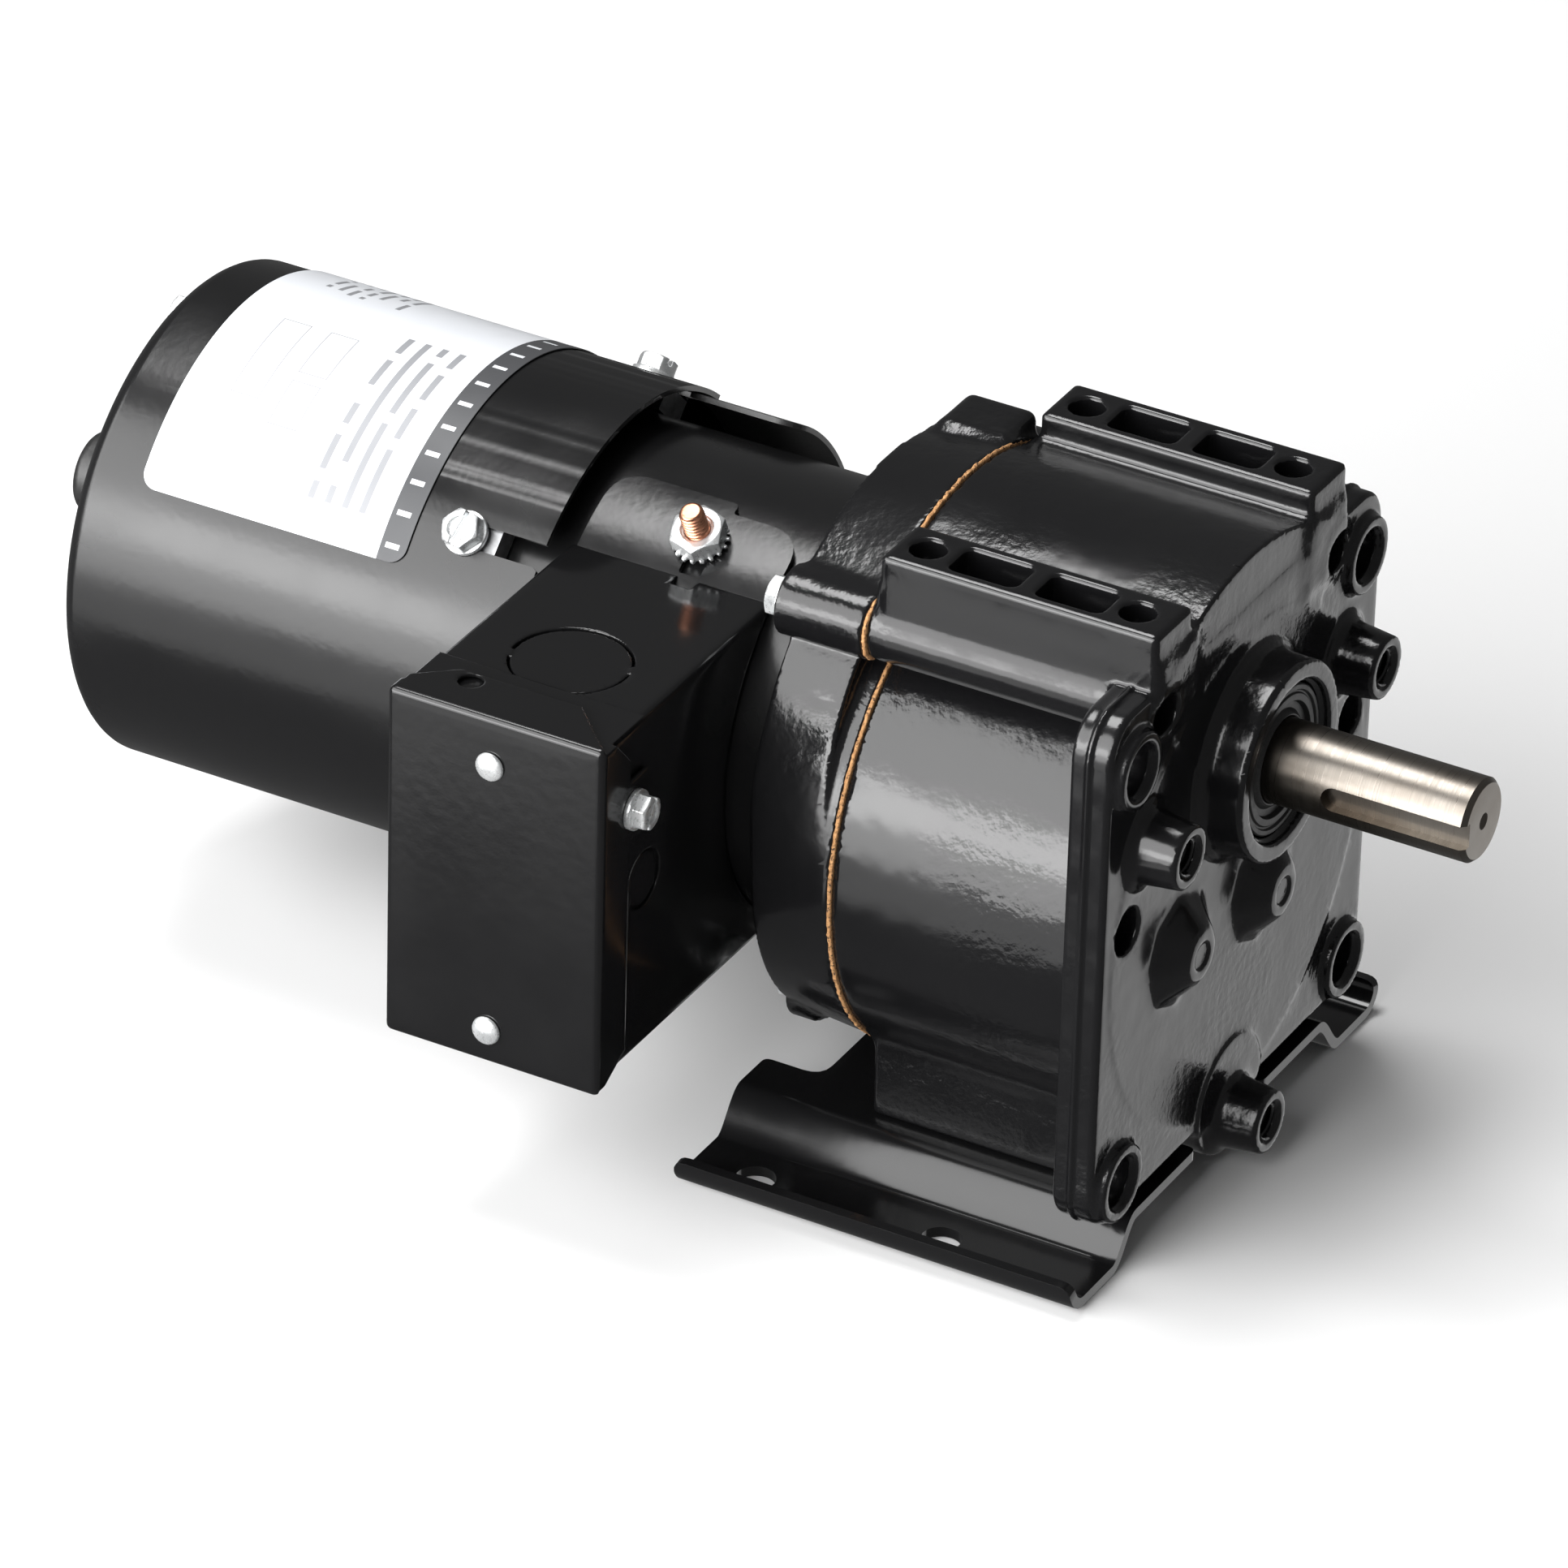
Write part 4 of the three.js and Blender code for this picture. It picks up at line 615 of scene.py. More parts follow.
def make_gearcase():
    c = Casting((-67, -55, 0.5), (2, 55, 130), (FINE, FINE, FINE))
    case_section(c, CASE_REAR, FACE_X - 0.2)
    for side in (-1, 1):
        c.join(c.rod(CASE_REAR, FACE_X, side * TUBE[0], TUBE[1], 5.6), 1.6)
        rail_y, web_y = sorted((side * 22.9, side * 36.5)), sorted((side * 21.5, side * 35))
        c.join(c.block((-64.4, FACE_X), rail_y, (115.5, RAIL_TOP), 1.2), 2.2)
        c.join(c.block((-64.4, FACE_X), web_y, (108, 121), 1.0), 4.0)
    # foot block, then the square front plate
    c.join(c.block((-64, -15), (-33.5, 33.5), (9.65, 42), 1.2), 3.0)
    c.join(c.plate((PLATE_BACK, FACE_X), (-52.3, 52.3), (11.7, 116.8), 8, 1.1), 1.2)
    c.join(c.rod(PLATE_BACK, FACE_X, 0, 13.4, 11.2), 3.0)
    # the parting line is a thin proud seam round the plate's edge
    c.join(c.plate((-14.1, -13.3), (-52.9, 52.9), (11.1, 117.4), 8.6, 0.35), 0.5)
    # output boss
    c.join(c.rod(-12, FACE_X + 1.0, 0, SHAFT_Z, 20.2), 1.5)
    c.join(c.rod(-12, 0, 0, SHAFT_Z, 18.9, 0.02), 2.4)
    for y, z in CORNERS:
        c.join(c.rod(-12, -7.3, y, z, 7.4, 0.1), 1.4)
    for y, z in STANDOFFS:
        c.join(c.rod(-16, FACE_X + 0.4, y, z, 8.2), 1.4)
        c.join(c.rod(-12, 0, y, z, 6.0, 0.12), 1.8)
    for y, z in GEAR_AXES:
        c.join(c.octagon(y, z, 10.6, 5.0, FACE_X, -3.9), 1.2)
        c.cut(c.rod(-4.5, -3, y, z, 2.6), 0.6)
    # hollow, with room for the output gear; the screw bosses and the bearing boss stay standing
    cavity = case_hollow(c, -70, -14.3)
    cavity = smooth_low(cavity, c.rod(-70, -24, 0, SHAFT_Z, 26), 1.5)
    for y, z in LOWER_SCREWS:
        cavity = kept_out(cavity, c.rod(-70, -50, y, z, 6.2), 1.5)
    cavity = kept_out(cavity, c.rod(-21.5, -10, 0, SHAFT_Z, 20.6), 1.0)
    c.cut(cavity, 0.5)
    # bearing seat, output bore and seal recess
    c.cut(c.rod(-30, -11, 0, SHAFT_Z, 17.6))
    c.cut(c.rod(-12, 3, 0, SHAFT_Z, 14.5))
    c.cut(c.rod(-1.5, 3, 0, SHAFT_Z, 15.4), 0.5)
    for y, z in GEAR_AXES:
        c.cut(c.rod(-16, FACE_X + 1, y, z, BUSH_POCKET))
    # holes in the face
    for y, z in CORNERS:
        c.cut(c.rod(-25, 3, y, z, 4.6), 0.5)
        c.cut(c.rod(-8.2, 3, y, z, 5.2), 0.8)
    for y, z in STANDOFFS:
        c.cut(c.rod(-12, 3, y, z, 3.3), 0.3)
        c.cut(c.rod(-0.7, 3, y, z, 3.9), 0.5)
    for side in (-1, 1):
        c.cut(c.rod(-22, 3, side * TUBE[0], TUBE[1], 4.0), 0.7)
        c.cut(c.rod(-16.3, 3, side * 43.2, 71.6, 4.4), 0.7)
    for y, z in CASE_SCREWS:
        c.cut(c.rod(-70, -50, y, z, CASE_SCREW_BORE))
    # rail pockets: two round, two square in each rail
    for side in (-1, 1):
        middle = side * 29.7
        for x in (-58.4, -16.75):
            c.cut(c.upright(119.8, 130, x, middle, 3.3), 0.6)
        for pocket_x in ((-52.6, -39.1), (-35.4, -22.1)):
            c.cut(c.block(pocket_x, (middle - 4.1, middle + 4.1), (119.8, 140), 1.6), 0.7)
    for x, y in BASE_SCREWS:
        c.cut(c.upright(5, 19.5, x, y, 2.65))
    sleeves = [thread_sleeve(-10.5, -0.6, y, z, 3.35, 1.27) for y, z in STANDOFFS]
    return joined("gearcase_body", [c.mesh(0.012), *sleeves])


def thread_sleeve(x0, x1, y, z, r, pitch):
    """The ridges of a tapped hole, as a helix on the hole's wall."""
    per_turn = 20
    profile = [(-0.5, 0.1), (-0.12, -0.42), (0.12, -0.42), (0.5, 0.1)]
    steps = int((x1 - x0) / pitch * per_turn)
    verts, faces = [], []
    for i in range(steps + 1):
        a = 2 * math.pi * i / per_turn
        x = x0 + pitch * i / per_turn
        for along, out in profile:
            reach = r + out
            verts.append((x + along * pitch, y + reach * math.cos(a), z + reach * math.sin(a)))
    for first in range(0, steps * 4, 4):
        for k in range(4):
            n = (k + 1) % 4
            faces.append((first + k, first + k + 4, first + n + 4, first + n))
    faces += [(0, 1, 2, 3), tuple(steps * 4 + k for k in (3, 2, 1, 0))]
    return solid_of("thread", verts, faces)


def make_adapter():
    c = Casting((-86, -55, 10), (-65.5, 55, 130), (FINE, FINE, FINE))
    case_section(c, -82.5, ADAPTER_FRONT, -0.08)
    for side in (-1, 1):
        c.join(c.rod(SCREW_SEAT, ADAPTER_FRONT, side * TUBE[0], TUBE[1], 6.4), 2.5)
        c.join(c.rod(SCREW_SEAT, -79, side * 24, 26.5, 6.4), 2.0)
    c.join(c.rod(SCREW_SEAT, -70, 0, MOTOR_Z, 45.5), 3.0)
    c.join(c.block((-81, ADAPTER_FRONT), (14, 27), (112, 126), 2.0), 3.0)
    groove = np.maximum(c.rod(-90, -75, 0, MOTOR_Z, 36), -c.rod(-95, -70, 0, MOTOR_Z, 20))
    c.cut(groove, 1.0)
    c.cut(c.rod(-90, -74, 0, MOTOR_Z, 16.2))
    c.cut(c.rod(-80, -60, 0, MOTOR_Z, 6))
    for (y, z), r in (*((axis, BUSH_POCKET) for axis in GEAR_AXES), ((0, SHAFT_Z), 8.55)):
        c.cut(c.rod(-73, -60, y, z, r))
    for y, z in CASE_SCREWS:
        c.cut(c.rod(-90, -60, y, z, CASE_SCREW_BORE))
    c.cut(c.block((-77, -72.5), (-44.8, -38), (95.5, 103), 1.2), 1.0)
    return c.mesh(0.012)


def make_gasket():
    c = Casting((-67.2, -55, 10), (-64.8, 55, 130), (0.13, 0.5, 0.5))
    x0, x1 = -66.38, -65.62
    case_section(c, x0, x1)
    for side in (-1, 1):
        c.join(c.rod(x0, x1, side * TUBE[0], TUBE[1], 5.8), 1.6)
    ragged = 0.22 * np.sin(c.y * 2.1 + np.sin(c.z * 1.7)) * np.sin(c.z * 2.7 + 0.6 * np.sin(c.y))
    c.field = c.field - 0.35 - ragged.astype(np.float32)
    c.field = np.maximum(c.field, np.maximum(x0 - c.x, c.x - x1))
    opening = case_hollow(c, -70, -60)
    for y, z in LOWER_SCREWS:
        opening = kept_out(opening, c.rod(-70, -60, y, z, 6.2), 1.5)
    c.cut(opening)
    for y, z in CASE_SCREWS:
        c.cut(c.rod(-90, -60, y, z, CASE_SCREW_BORE))
    return c.mesh(0.0)


# ---------------------------------------------------------------- screws, nut and stud
SMALL = 0.15


def hexagon(c, radius, x0, x1, chamfer=0.0):
    """A six-sided prism along X; chamfer rounds its far corners as a turned cone would."""
    flat = radius * math.cos(math.radians(30))
    sides = [
        np.abs(c.y * math.cos(a) + c.z * math.sin(a)) - flat for a in np.radians((0, 60, 120))
    ]
    shape = np.maximum(np.maximum(sides[0], sides[1]), sides[2])
    shape = np.maximum(shape, np.maximum(x0 - c.x, c.x - x1))
    if chamfer:
        cone = (np.hypot(c.y, c.z) - flat + (c.x - x1) * 1.7 + chamfer) * 0.5
        shape = np.maximum(shape, cone)
    return shape


def thread(c, x0, x1, radius, pitch, depth):
    """A rod along X with a helical ridge."""
    turn = np.arctan2(c.z, c.y) - 2 * math.pi * c.x / pitch
    reach = radius - depth / 2 + depth / 2 * np.cos(turn)
    return np.maximum(np.hypot(c.y, c.z) - reach, np.maximum(x0 - c.x, c.x - x1))


def make_screw(washer, hexagonal, height, shank, length, slotted=True):
    """A hex-washer screw along +X: its washer rests on x = 0 and its slot lies along Y."""
    reach = washer + 0.6
    c = Casting((-length - 0.4, -reach, -reach), (height + 0.5, reach, reach), (SMALL,) * 3)
    c.join(thread(c, -length, 0.5, shank, 1.1, 0.3))
    c.join(c.rod(0.05, 1.0, 0, 0, washer - 0.1) - 0.05)
    c.join(hexagon(c, hexagonal - 0.1, 0.5, height - 0.1, 0.1) - 0.1, 0.5)
    c.cut(c.rod(height - 0.45, height + 2, 0, 0, hexagonal * 0.55), 0.4)
    if slotted:
        c.cut(c.block((height - 1.2, height + 2), (-9, 9), (-0.45, 0.45)), 0.15)
    return c.mesh(0.02)


def make_ground_nut():
    """A hex nut with its toothed lock washer, bored for the stud."""
    c = Casting((-0.4, -6.2, -6.2), (5, 6.2, 6.2), (SMALL,) * 3)
    angle = np.arctan2(c.z, c.y)
    teeth = 4.95 + 0.42 * np.clip(2.2 * np.sin(18 * angle), -1, 1)
    twist = 0.68 + 0.16 * np.sin(18 * angle + 0.9)
    washer = np.maximum(np.hypot(c.y, c.z) - teeth, np.abs(c.x - twist) - 0.3)
    c.join(washer)
    c.join(c.rod(0.9, 1.5, 0, 0, 4.7))
    c.join(hexagon(c, 5.25, 1.2, 4.3, 0.2) - 0.1, 0.2)
    c.cut(c.rod(-2, 9, 0, 0, 2.42), 0.3)
    c.cut(c.rod(3.9, 9, 0, 0, 2.9), 0.4)
    return c.mesh(0.02)


def make_ground_stud(length):
    c = Casting((-0.3, -3, -3), (length + 0.4, 3, 3), (SMALL * 0.8,) * 3)
    c.join(thread(c, 0.1, length, 2.35, 0.9, 0.42))
    c.cut((length + 1.7 - np.hypot(c.y, c.z) - c.x) * 0.7)  # the chamfered tip
    return c.mesh(0.02)


def pointing(direction, at, spin=0.0):
    """A placement that turns +X towards a direction; spin is in degrees about that axis."""
    turn = Vector((1, 0, 0)).rotation_difference(Vector(direction)).to_matrix().to_4x4()
    return Matrix.Translation(at) @ turn @ Matrix.Rotation(math.radians(spin), 4, "X")


def on_motor(x, degrees, radius):
    """A point on a radius of the motor axis and the outward direction there."""
    a = math.radians(degrees)
    outward = Vector((0, math.cos(a), math.sin(a)))
    return outward, Vector((x, 0, MOTOR_Z)) + outward * radius


def place_zinc(node, kind, mesh, at):
    place(f"{node}_{kind}", mesh, ZINC, ROOT, [node], "zinc_plated_steel", at)


def add_screws():
    screw = make_screw(4.25, 3.9, 4.0, 2.0, 6.4)
    for i, (degrees, spin) in enumerate(zip(SHROUD_SCREWS, (20, 35, 100, 150))):
        outward, at = on_motor(SHROUD_SCREW_X, degrees, SHROUD_R)
        place_zinc(f"shroud_screw_{i + 1}", "threaded", screw, pointing(outward, at, spin))
    screw = make_screw(3.9, 3.5, 5.4, 2.0, 4.9)
    for i, degrees in enumerate(REAR_SCREWS):
        at = on_motor(SHROUD_FACE, degrees, REAR_SCREW_R)[1]
        matrix = pointing((-1, 0, 0), at, 40 + 70 * i)
        place_zinc(f"shroud_rear_screw_{i + 1}", "threaded", screw, matrix)
    screw = make_screw(3.9, 3.4, 3.8, 1.5, 5.9)
    for name, x, z, way, spin in (
        ("cover_screw_front", COVER_X[1], COVER_SCREWS_Z[0], 1, 60),
        ("cover_screw_rear", COVER_X[0], COVER_SCREWS_Z[1], -1, 15),
    ):
        place_zinc(name, "threaded", screw, pointing((way, 0, 0), (x, COVER_SCREW_Y, z), spin))
    screw = make_screw(4.2, 4.0, 3.5, 2.4, 31.9, slotted=False)
    for i, (y, z) in enumerate(CASE_SCREWS):
        matrix = Matrix.Translation((SCREW_SEAT, y, z)) @ Matrix.Rotation(math.pi, 4, "Z")
        place_zinc(f"gearcase_screw_{i + 1}", "threaded", screw, matrix)
    screw = make_screw(5.3, 4.5, 3.6, 2.5, 10.3, slotted=False)
    for i, (x, y) in enumerate(BASE_SCREWS):
        matrix = pointing((0, 0, -1), (x, y, 7.55), 17 * i)
        place_zinc(f"base_screw_{i + 1}", "threaded", screw, matrix)


def make_rivet():
    """A drive rivet along +X from its shank, with a low domed head."""
    dome = [(3.9 + 0.75 * math.sin(t), 2.7 * math.cos(t)) for t in
            np.radians(np.linspace(8, 70, 8))]
    shank = [(0.1, 0), (0.1, 1.3), (0.3, 1.4), (3.4, 1.4), (3.45, 1.5)]
    profile = [*shank, (3.45, 2.65), (3.65, 2.78), *dome, (4.68, 0.5), (4.7, 0)]
    return rounded(lathe_x(profile, sides=48), 0)


def add_rivets():
    rivet = make_rivet()
    for i, z in enumerate(RIVETS_Z):
        matrix = pointing((0, -1, 0), (RIVET_X, COVER_Y + 3.4, z))
        place_zinc(f"cover_rivet_{i + 1}", "domed", rivet, matrix)


def add_ground():
    seat, tip = 42.1, 51.6  # radii from the motor axis
    outward, at = on_motor(STUD_X, STUD_ANGLE, seat)
    stud = make_ground_stud(tip - seat)
    place("ground_stud_threaded", stud, COPPER, ROOT, ["ground_stud"], "coppered_steel",
          pointing(outward, at))
    place_zinc("ground_nut", "toothed", make_ground_nut(), pointing(outward, at, 12))


# ---------------------------------------------------------------- base plate
BASE_X = (-89.6, -8.4)
DECK_Z, FOOT_Z = 8.6, 1.0  # middle of the sheet on the deck and on the foot


def base_section():
    """Half of the base's middle line as (y, z), from the deck outwards."""
    line = [(0.0, DECK_Z), (36.0, DECK_Z)]
    for t in np.linspace(0, 1, 15)[1:]:
        line.append((36 + 8.5 * t, FOOT_Z + (DECK_Z - FOOT_Z) * (1 + math.cos(math.pi * t)) / 2))
    for a in np.radians(np.linspace(0, 90, 9)):
        line.append((55.6 + 4.3 * math.sin(a), FOOT_Z + 5.2 * (1 - math.cos(a))))
    return np.array(line)


def make_base_plate():
    line = base_section()
    along = np.concatenate([[0], np.cumsum(np.hypot(*np.diff(line, axis=0).T))])
    edge = along[-1]
    foot_v = along[np.searchsorted(line[:, 0], 44.5)] + (52.5 - 44.5)

    def bend(x, v):
        y = float(np.interp(abs(v), along, line[:, 0]))
        return x, math.copysign(y, v), float(np.interp(abs(v), along, line[:, 1]))

    rear, front = BASE_X
    half = [(rear, edge, 2.5), (rear, 27, 1.5), (-77.8, 27, 4)]
    front_half = [(-18.5, 13, 4), (front, 13, 1.5), (front, edge, 2.5)]
    mirrored = [[(x, -v, r) for x, v, r in part[::-1]] for part in (front_half, half)]
    outline = rounded_outline(
        [mirrored[1][-1], *mirrored[0], *front_half, *half, *mirrored[1][:-1]]
    )
    holes = [circle(x, side * foot_v, 3.75, 36) for x in (-77, -38.9) for side in (-1, 1)]
    holes += [circle(x, y, 2.7, 20) for x, y in BASE_SCREWS]
    cuts = [side * v for v in along[1:-1] for side in (-1, 1)]
    flat = sheet(outline, holes, bend, cuts)
    flat = face_outward(flat, lambda p: Vector((p.x, p.y * 0.9, -100)))
    return rounded(flat, 0.42, 3, 50, thickness=2.0)


# ---------------------------------------------------------------- output shaft, seal and plug
def make_output_shaft():
    """The keyed shaft: inside journal, full diameter, chamfered tip and a centre-drilled end."""
    r, tip, key_width, key_depth, key_start = 7.9375, SHAFT_TIP, 4.76, 2.4, 10
    profile = [(-72.6, 0), (-72.6, 5.6), (-72.2, 6), (-54, 6), (-54, r), (tip - 0.95, r),
               (tip - 0.12, r - 0.75), (tip, r - 0.95), (tip, 1.6), (tip - 1.3, 0.35),
               (tip - 1.3, 0)]
    shaft = lathe_x(profile, 0, SHAFT_Z, 144)
    half = key_width / 2
    seat = arc(key_start + half, SHAFT_Z, half, 90, 270, 16)
    seat = [(tip + 2, SHAFT_Z + half), *seat, (tip + 2, SHAFT_Z - half)]
    return rounded(booled(shaft, extruded(seat, -r - 2, -r + key_depth, "y")), 0.12, 2, 40)


def make_output_seal():
    """A lip seal: outer case, a shallow dished face with two rings, and the lip on the shaft."""
    bore, outer = 8.04, 14.2
    case = [(-8, bore), (-8, outer - 0.5), (-7.5, outer), (-1.75, outer), (-1.5, outer - 0.25)]
    face = [(-1.5, 13.1), (-2.0, 12.9), (-2.0, 12.5), (-1.6, 12.3), (-1.6, 11.0), (-2.6, 10.7)]
    lip = [(-2.8, 9.4), (-2.1, 8.9), (-1.7, 8.4), (-1.9, bore)]
    return rounded(lathe_x(case + face + lip, 0, SHAFT_Z, 96, closed=True), 0.12, 2, 30)


def make_hub_plug():
    """A snap-in plug: its rounded head outside the cup, its shank through the hole."""
    rear, corner, shank = PLUG_END, 1.9, 6.55
    nose = [(rear + corner * (1 - math.sin(t)), 6.1 + corner * math.cos(t)) for t in
            np.radians(np.linspace(80, 0, 7))]
    head = [(CUP_X - 1.2, 8.0), (CUP_X - 0.6, 7.7), (CUP_X - 0.08, 7.7)]
    tail = [(CUP_X - 0.08, shank), (CUP_X + 3.4, shank), (CUP_X + 4, 6.0), (CUP_X + 4, 0)]
    return rounded(lathe_x([(rear, 0), (rear, 5.2), *nose, *head, *tail], 0, MOTOR_Z, 80), 0)


# ---------------------------------------------------------------- motor shell and fan shroud
SHROUD_FRONT, SHROUD_BEND, SHROUD_FACE, CUP_X = -134.5, -224.6, -229.5, -240.0
PLUG_END = -250.6
SHROUD_SCREW_X, SHROUD_SCREWS = -150, (45, 135, 225, 315)  # degrees from +Y
REAR_SCREWS, REAR_SCREW_R = (83, 263), 36.5
INTAKES = ((31.4, 36.6, -233, -226), (11, 19.5, -243, -238))  # radii, then depth of the cut


def make_motor_shell():
    """An open tube with a hole for the leads into the conduit box."""
    outer, inner, rear, front = SHELL_R, SHELL_R - 1.9, -168, -84.06
    profile = [(rear, inner), (rear, outer - 0.3), (rear + 0.3, outer), (-84.4, outer),
               (front, outer - 0.3), (front, inner)]
    shell = lathe_x(profile, 0, MOTOR_Z, 180, closed=True)
    return rounded(booled(shell, extruded(circle(-112, MOTOR_Z, 5.8), -45, -30, "y")), 0)


def shroud_profile(inset):
    """The shroud's section from its front rim to the hub hole, drawn in by inset."""
    reach, drop = 9.2, SHROUD_BEND - SHROUD_FACE
    points = [(SHROUD_FRONT, SHROUD_R - inset)]
    for a in np.radians(np.linspace(0, 90, 13)):
        x = SHROUD_BEND - (drop - inset) * math.sin(a)
        points.append((x, SHROUD_R - reach + (reach - inset) * math.cos(a)))
    foot, top = (SHROUD_FACE + inset, 30 - inset), (CUP_X + 2 + inset, 24 - inset)
    points += [(foot[0], foot[1] + 1.2), (foot[0] - 0.7, foot[1] - 0.2), top]
    points += [(CUP_X + 0.6 + inset, 22.6 - inset), (CUP_X + inset, 20.5 - inset * 0.5)]
    points.append((CUP_X + inset, 6.7))
    return points


def make_fan_shroud():
    """The drawn cup, with a slot to its rim at each side screw and two rings of air intakes."""
    profile = shroud_profile(0.0) + shroud_profile(1.0)[::-1]
    skin = lathe_x(profile, 0, MOTOR_Z, 200, closed=True)
    rim = SHROUD_FRONT
    slot = arc(SHROUD_SCREW_X, 0, 2.3, 90, 270, 14)
    slot += [(rim + 0.9, -2.3), (rim + 2.5, -4.2), (rim + 2.5, 4.2), (rim - 0.9, 2.3)]
    cutters = []

    def add_cutter(outline, low, high, axis, turn):
        cutter = extruded(outline, low, high, axis)
        cutter.transform(turn)
        cutters.append(cutter)

    for degrees in SHROUD_SCREWS:
        add_cutter(slot, 44, 50, "y", around_motor(degrees))
    for i in range(12):
        turn = around_motor(REAR_SCREWS[0] + 15 + 30 * i)
        for r0, r1, x0, x1 in INTAKES:
            add_cutter(rounded_rect(r0, r1, -1.4, 1.4, 1.3, 5), x0, x1, "x", turn)
    for degrees in REAR_SCREWS:
        at = on_motor(0, degrees, REAR_SCREW_R)[1]
        cutters.append(extruded(circle(at.y, at.z, 2.15, 20), -233, -226, "x"))
    return rounded(booled(skin, joined("shroud_cuts", cutters)), 0.22, 2, 45)


def make_air_baffle():
    """A thin strip bent round the shell, with rounded free corners."""
    radius = 45.5
    ends = [math.radians(a) * radius for a in (16, 62)]
    return wrapped(rounded_rect(-137, -113, *ends, 5, 8), radius, ends, 24, 0.2, 2, 1.0)


LABEL_X = (-215.4, -160.0)
LABEL_ANGLES = (36, 146)


def make_label():
    radius = SHROUD_R + 0.28
    ends = [math.radians(a) * radius for a in LABEL_ANGLES]
    return wrapped(rounded_rect(*LABEL_X, *ends, 3.2, 8), radius, ends, 72, 0.06, 1, 0.22)


def label_film():
    """White film with a plain printed pattern: ticks, rules, blank fields and grey bars."""
    n = Nodes("label_film")
    split = n.add("ShaderNodeSeparateXYZ", Vector=n.place)
    axis_y, axis_z = datum_y / 1000, (MOTOR_Z + datum_z) / 1000
    y = n.maths("SUBTRACT", split.outputs["Y"], axis_y)
    z = n.maths("SUBTRACT", split.outputs["Z"], axis_z)
    angle = n.maths("ARCTAN2", z, y)
    around = n.maths("MULTIPLY", angle, SHROUD_R)
    x = n.maths("MULTIPLY", n.maths("SUBTRACT", split.outputs["X"], datum_x / 1000), 1000.0)

    def band(value, low, high):
        offset = n.maths("ABSOLUTE", n.maths("SUBTRACT", value, (low + high) / 2))
        return n.maths("LESS_THAN", offset, (high - low) / 2)

    def box(x0, x1, v0, v1):
        return n.maths("MULTIPLY", band(x, x0, x1), band(around, v0, v1))

    def frame_line(x0, x1, v0, v1, line=0.22):
        inner = box(x0 + line, x1 - line, v0 + line, v1 - line)
        return n.maths("SUBTRACT", box(x0, x1, v0, v1), inner)

    def bars(x0, x1, v0, v1, pitch, cell, density):
        """Rows of grey bars of uneven length along the label."""
        row = n.maths("FLOOR", n.maths("DIVIDE", x, pitch))
        column = n.maths("FLOOR", n.maths("DIVIDE", around, cell))
        joined_up = n.add("ShaderNodeCombineXYZ", X=row, Y=column)
        noise = n.add("ShaderNodeTexWhiteNoise", Vector=joined_up.outputs[0])
        filled = n.maths("LESS_THAN", noise.outputs["Value"], density)
        within = n.maths("PINGPONG", n.maths("DIVIDE", x, pitch / 2), 1.0)
        thick = n.maths("GREATER_THAN", within, 0.62)
        return n.maths("MULTIPLY", n.maths("MULTIPLY", filled, thick), box(x0, x1, v0, v1))

    low, high = (math.radians(a) * SHROUD_R for a in LABEL_ANGLES)
    ink = bars(-184, -170, high - 47, high - 7, 3.6, 2.4, 0.86)
    for shape in (
        bars(-208, -189, low + 6, low + 34, 2.6, 1.6, 0.62),
        frame_line(-206, -200, high - 42, high - 22),
        frame_line(-196, -190, high - 42, high - 30),
        frame_line(-196, -190, high - 28, high - 18),
        frame_line(-183, -177, low + 8, low + 22),
        frame_line(-174, -168, low + 8, low + 16),
    ):
        ink = n.maths("MAXIMUM", ink, shape)
    tick_phase = n.maths("PINGPONG", n.maths("DIVIDE", around, 3.1), 1.0)
    ticks = n.maths("MULTIPLY", n.maths("LESS_THAN", tick_phase, 0.16), band(x, -164.4, -161.6))
    strip = n.maths("SUBTRACT", band(x, -165.4, -159), ticks)
    tone = n.noise(60, 2.0, 0.5)
    paper = n.mix(tone, (0.80, 0.82, 0.86), (0.86, 0.88, 0.91))
    colour = n.mix(n.maths("MULTIPLY", ink, 0.72), paper, (0.10, 0.10, 0.11))
    colour = n.mix(n.maths("MULTIPLY", strip, 0.93), colour, (0.02, 0.02, 0.022))
    gloss = n.ramp(n.noise(200, 3.0, 0.5), (0.3, 0.30), (0.7, 0.42))
    normal = n.bump(n.noise(90, 2.0, 0.5), 0.00005)
    return n.finish(Base_Color=colour, Roughness=gloss, Normal=normal, Specular_IOR_Level=0.35)


# ---------------------------------------------------------------- conduit box
BOX_X, BOX_Z, BOX_Y = (-133.0, -91.4), (35.2, 104.4), -86.6
COVER_X, COVER_Z, COVER_Y = (-134.2, -90.2), (34.0, 105.6), -88.0
COVER_SCREW_Y, COVER_SCREWS_Z = -76.9, (88.6, 47.0)  # one on the front side, one on the rear
RIVET_X, RIVETS_Z = -113, (95.8, 41.0)
STUD_X, STUD_ANGLE = -109.6, 117.5
THIN = 0.26


def ring_slits(along, across, radius, width, gaps, depth):
    """A knock-out's ring as slits, with bridges at the given angles (field of the cut)."""
    a, b = across
    ring = np.abs(np.hypot(a, b) - radius) - width / 2
    angle = np.arctan2(b, a)
    for degrees in gaps:
        turned = np.angle(np.exp(1j * (angle - math.radians(degrees)))).astype(np.float32)
        ring = np.maximum(ring, 1.2 - np.abs(turned) * radius)
    return np.maximum(ring, np.abs(along) - depth)


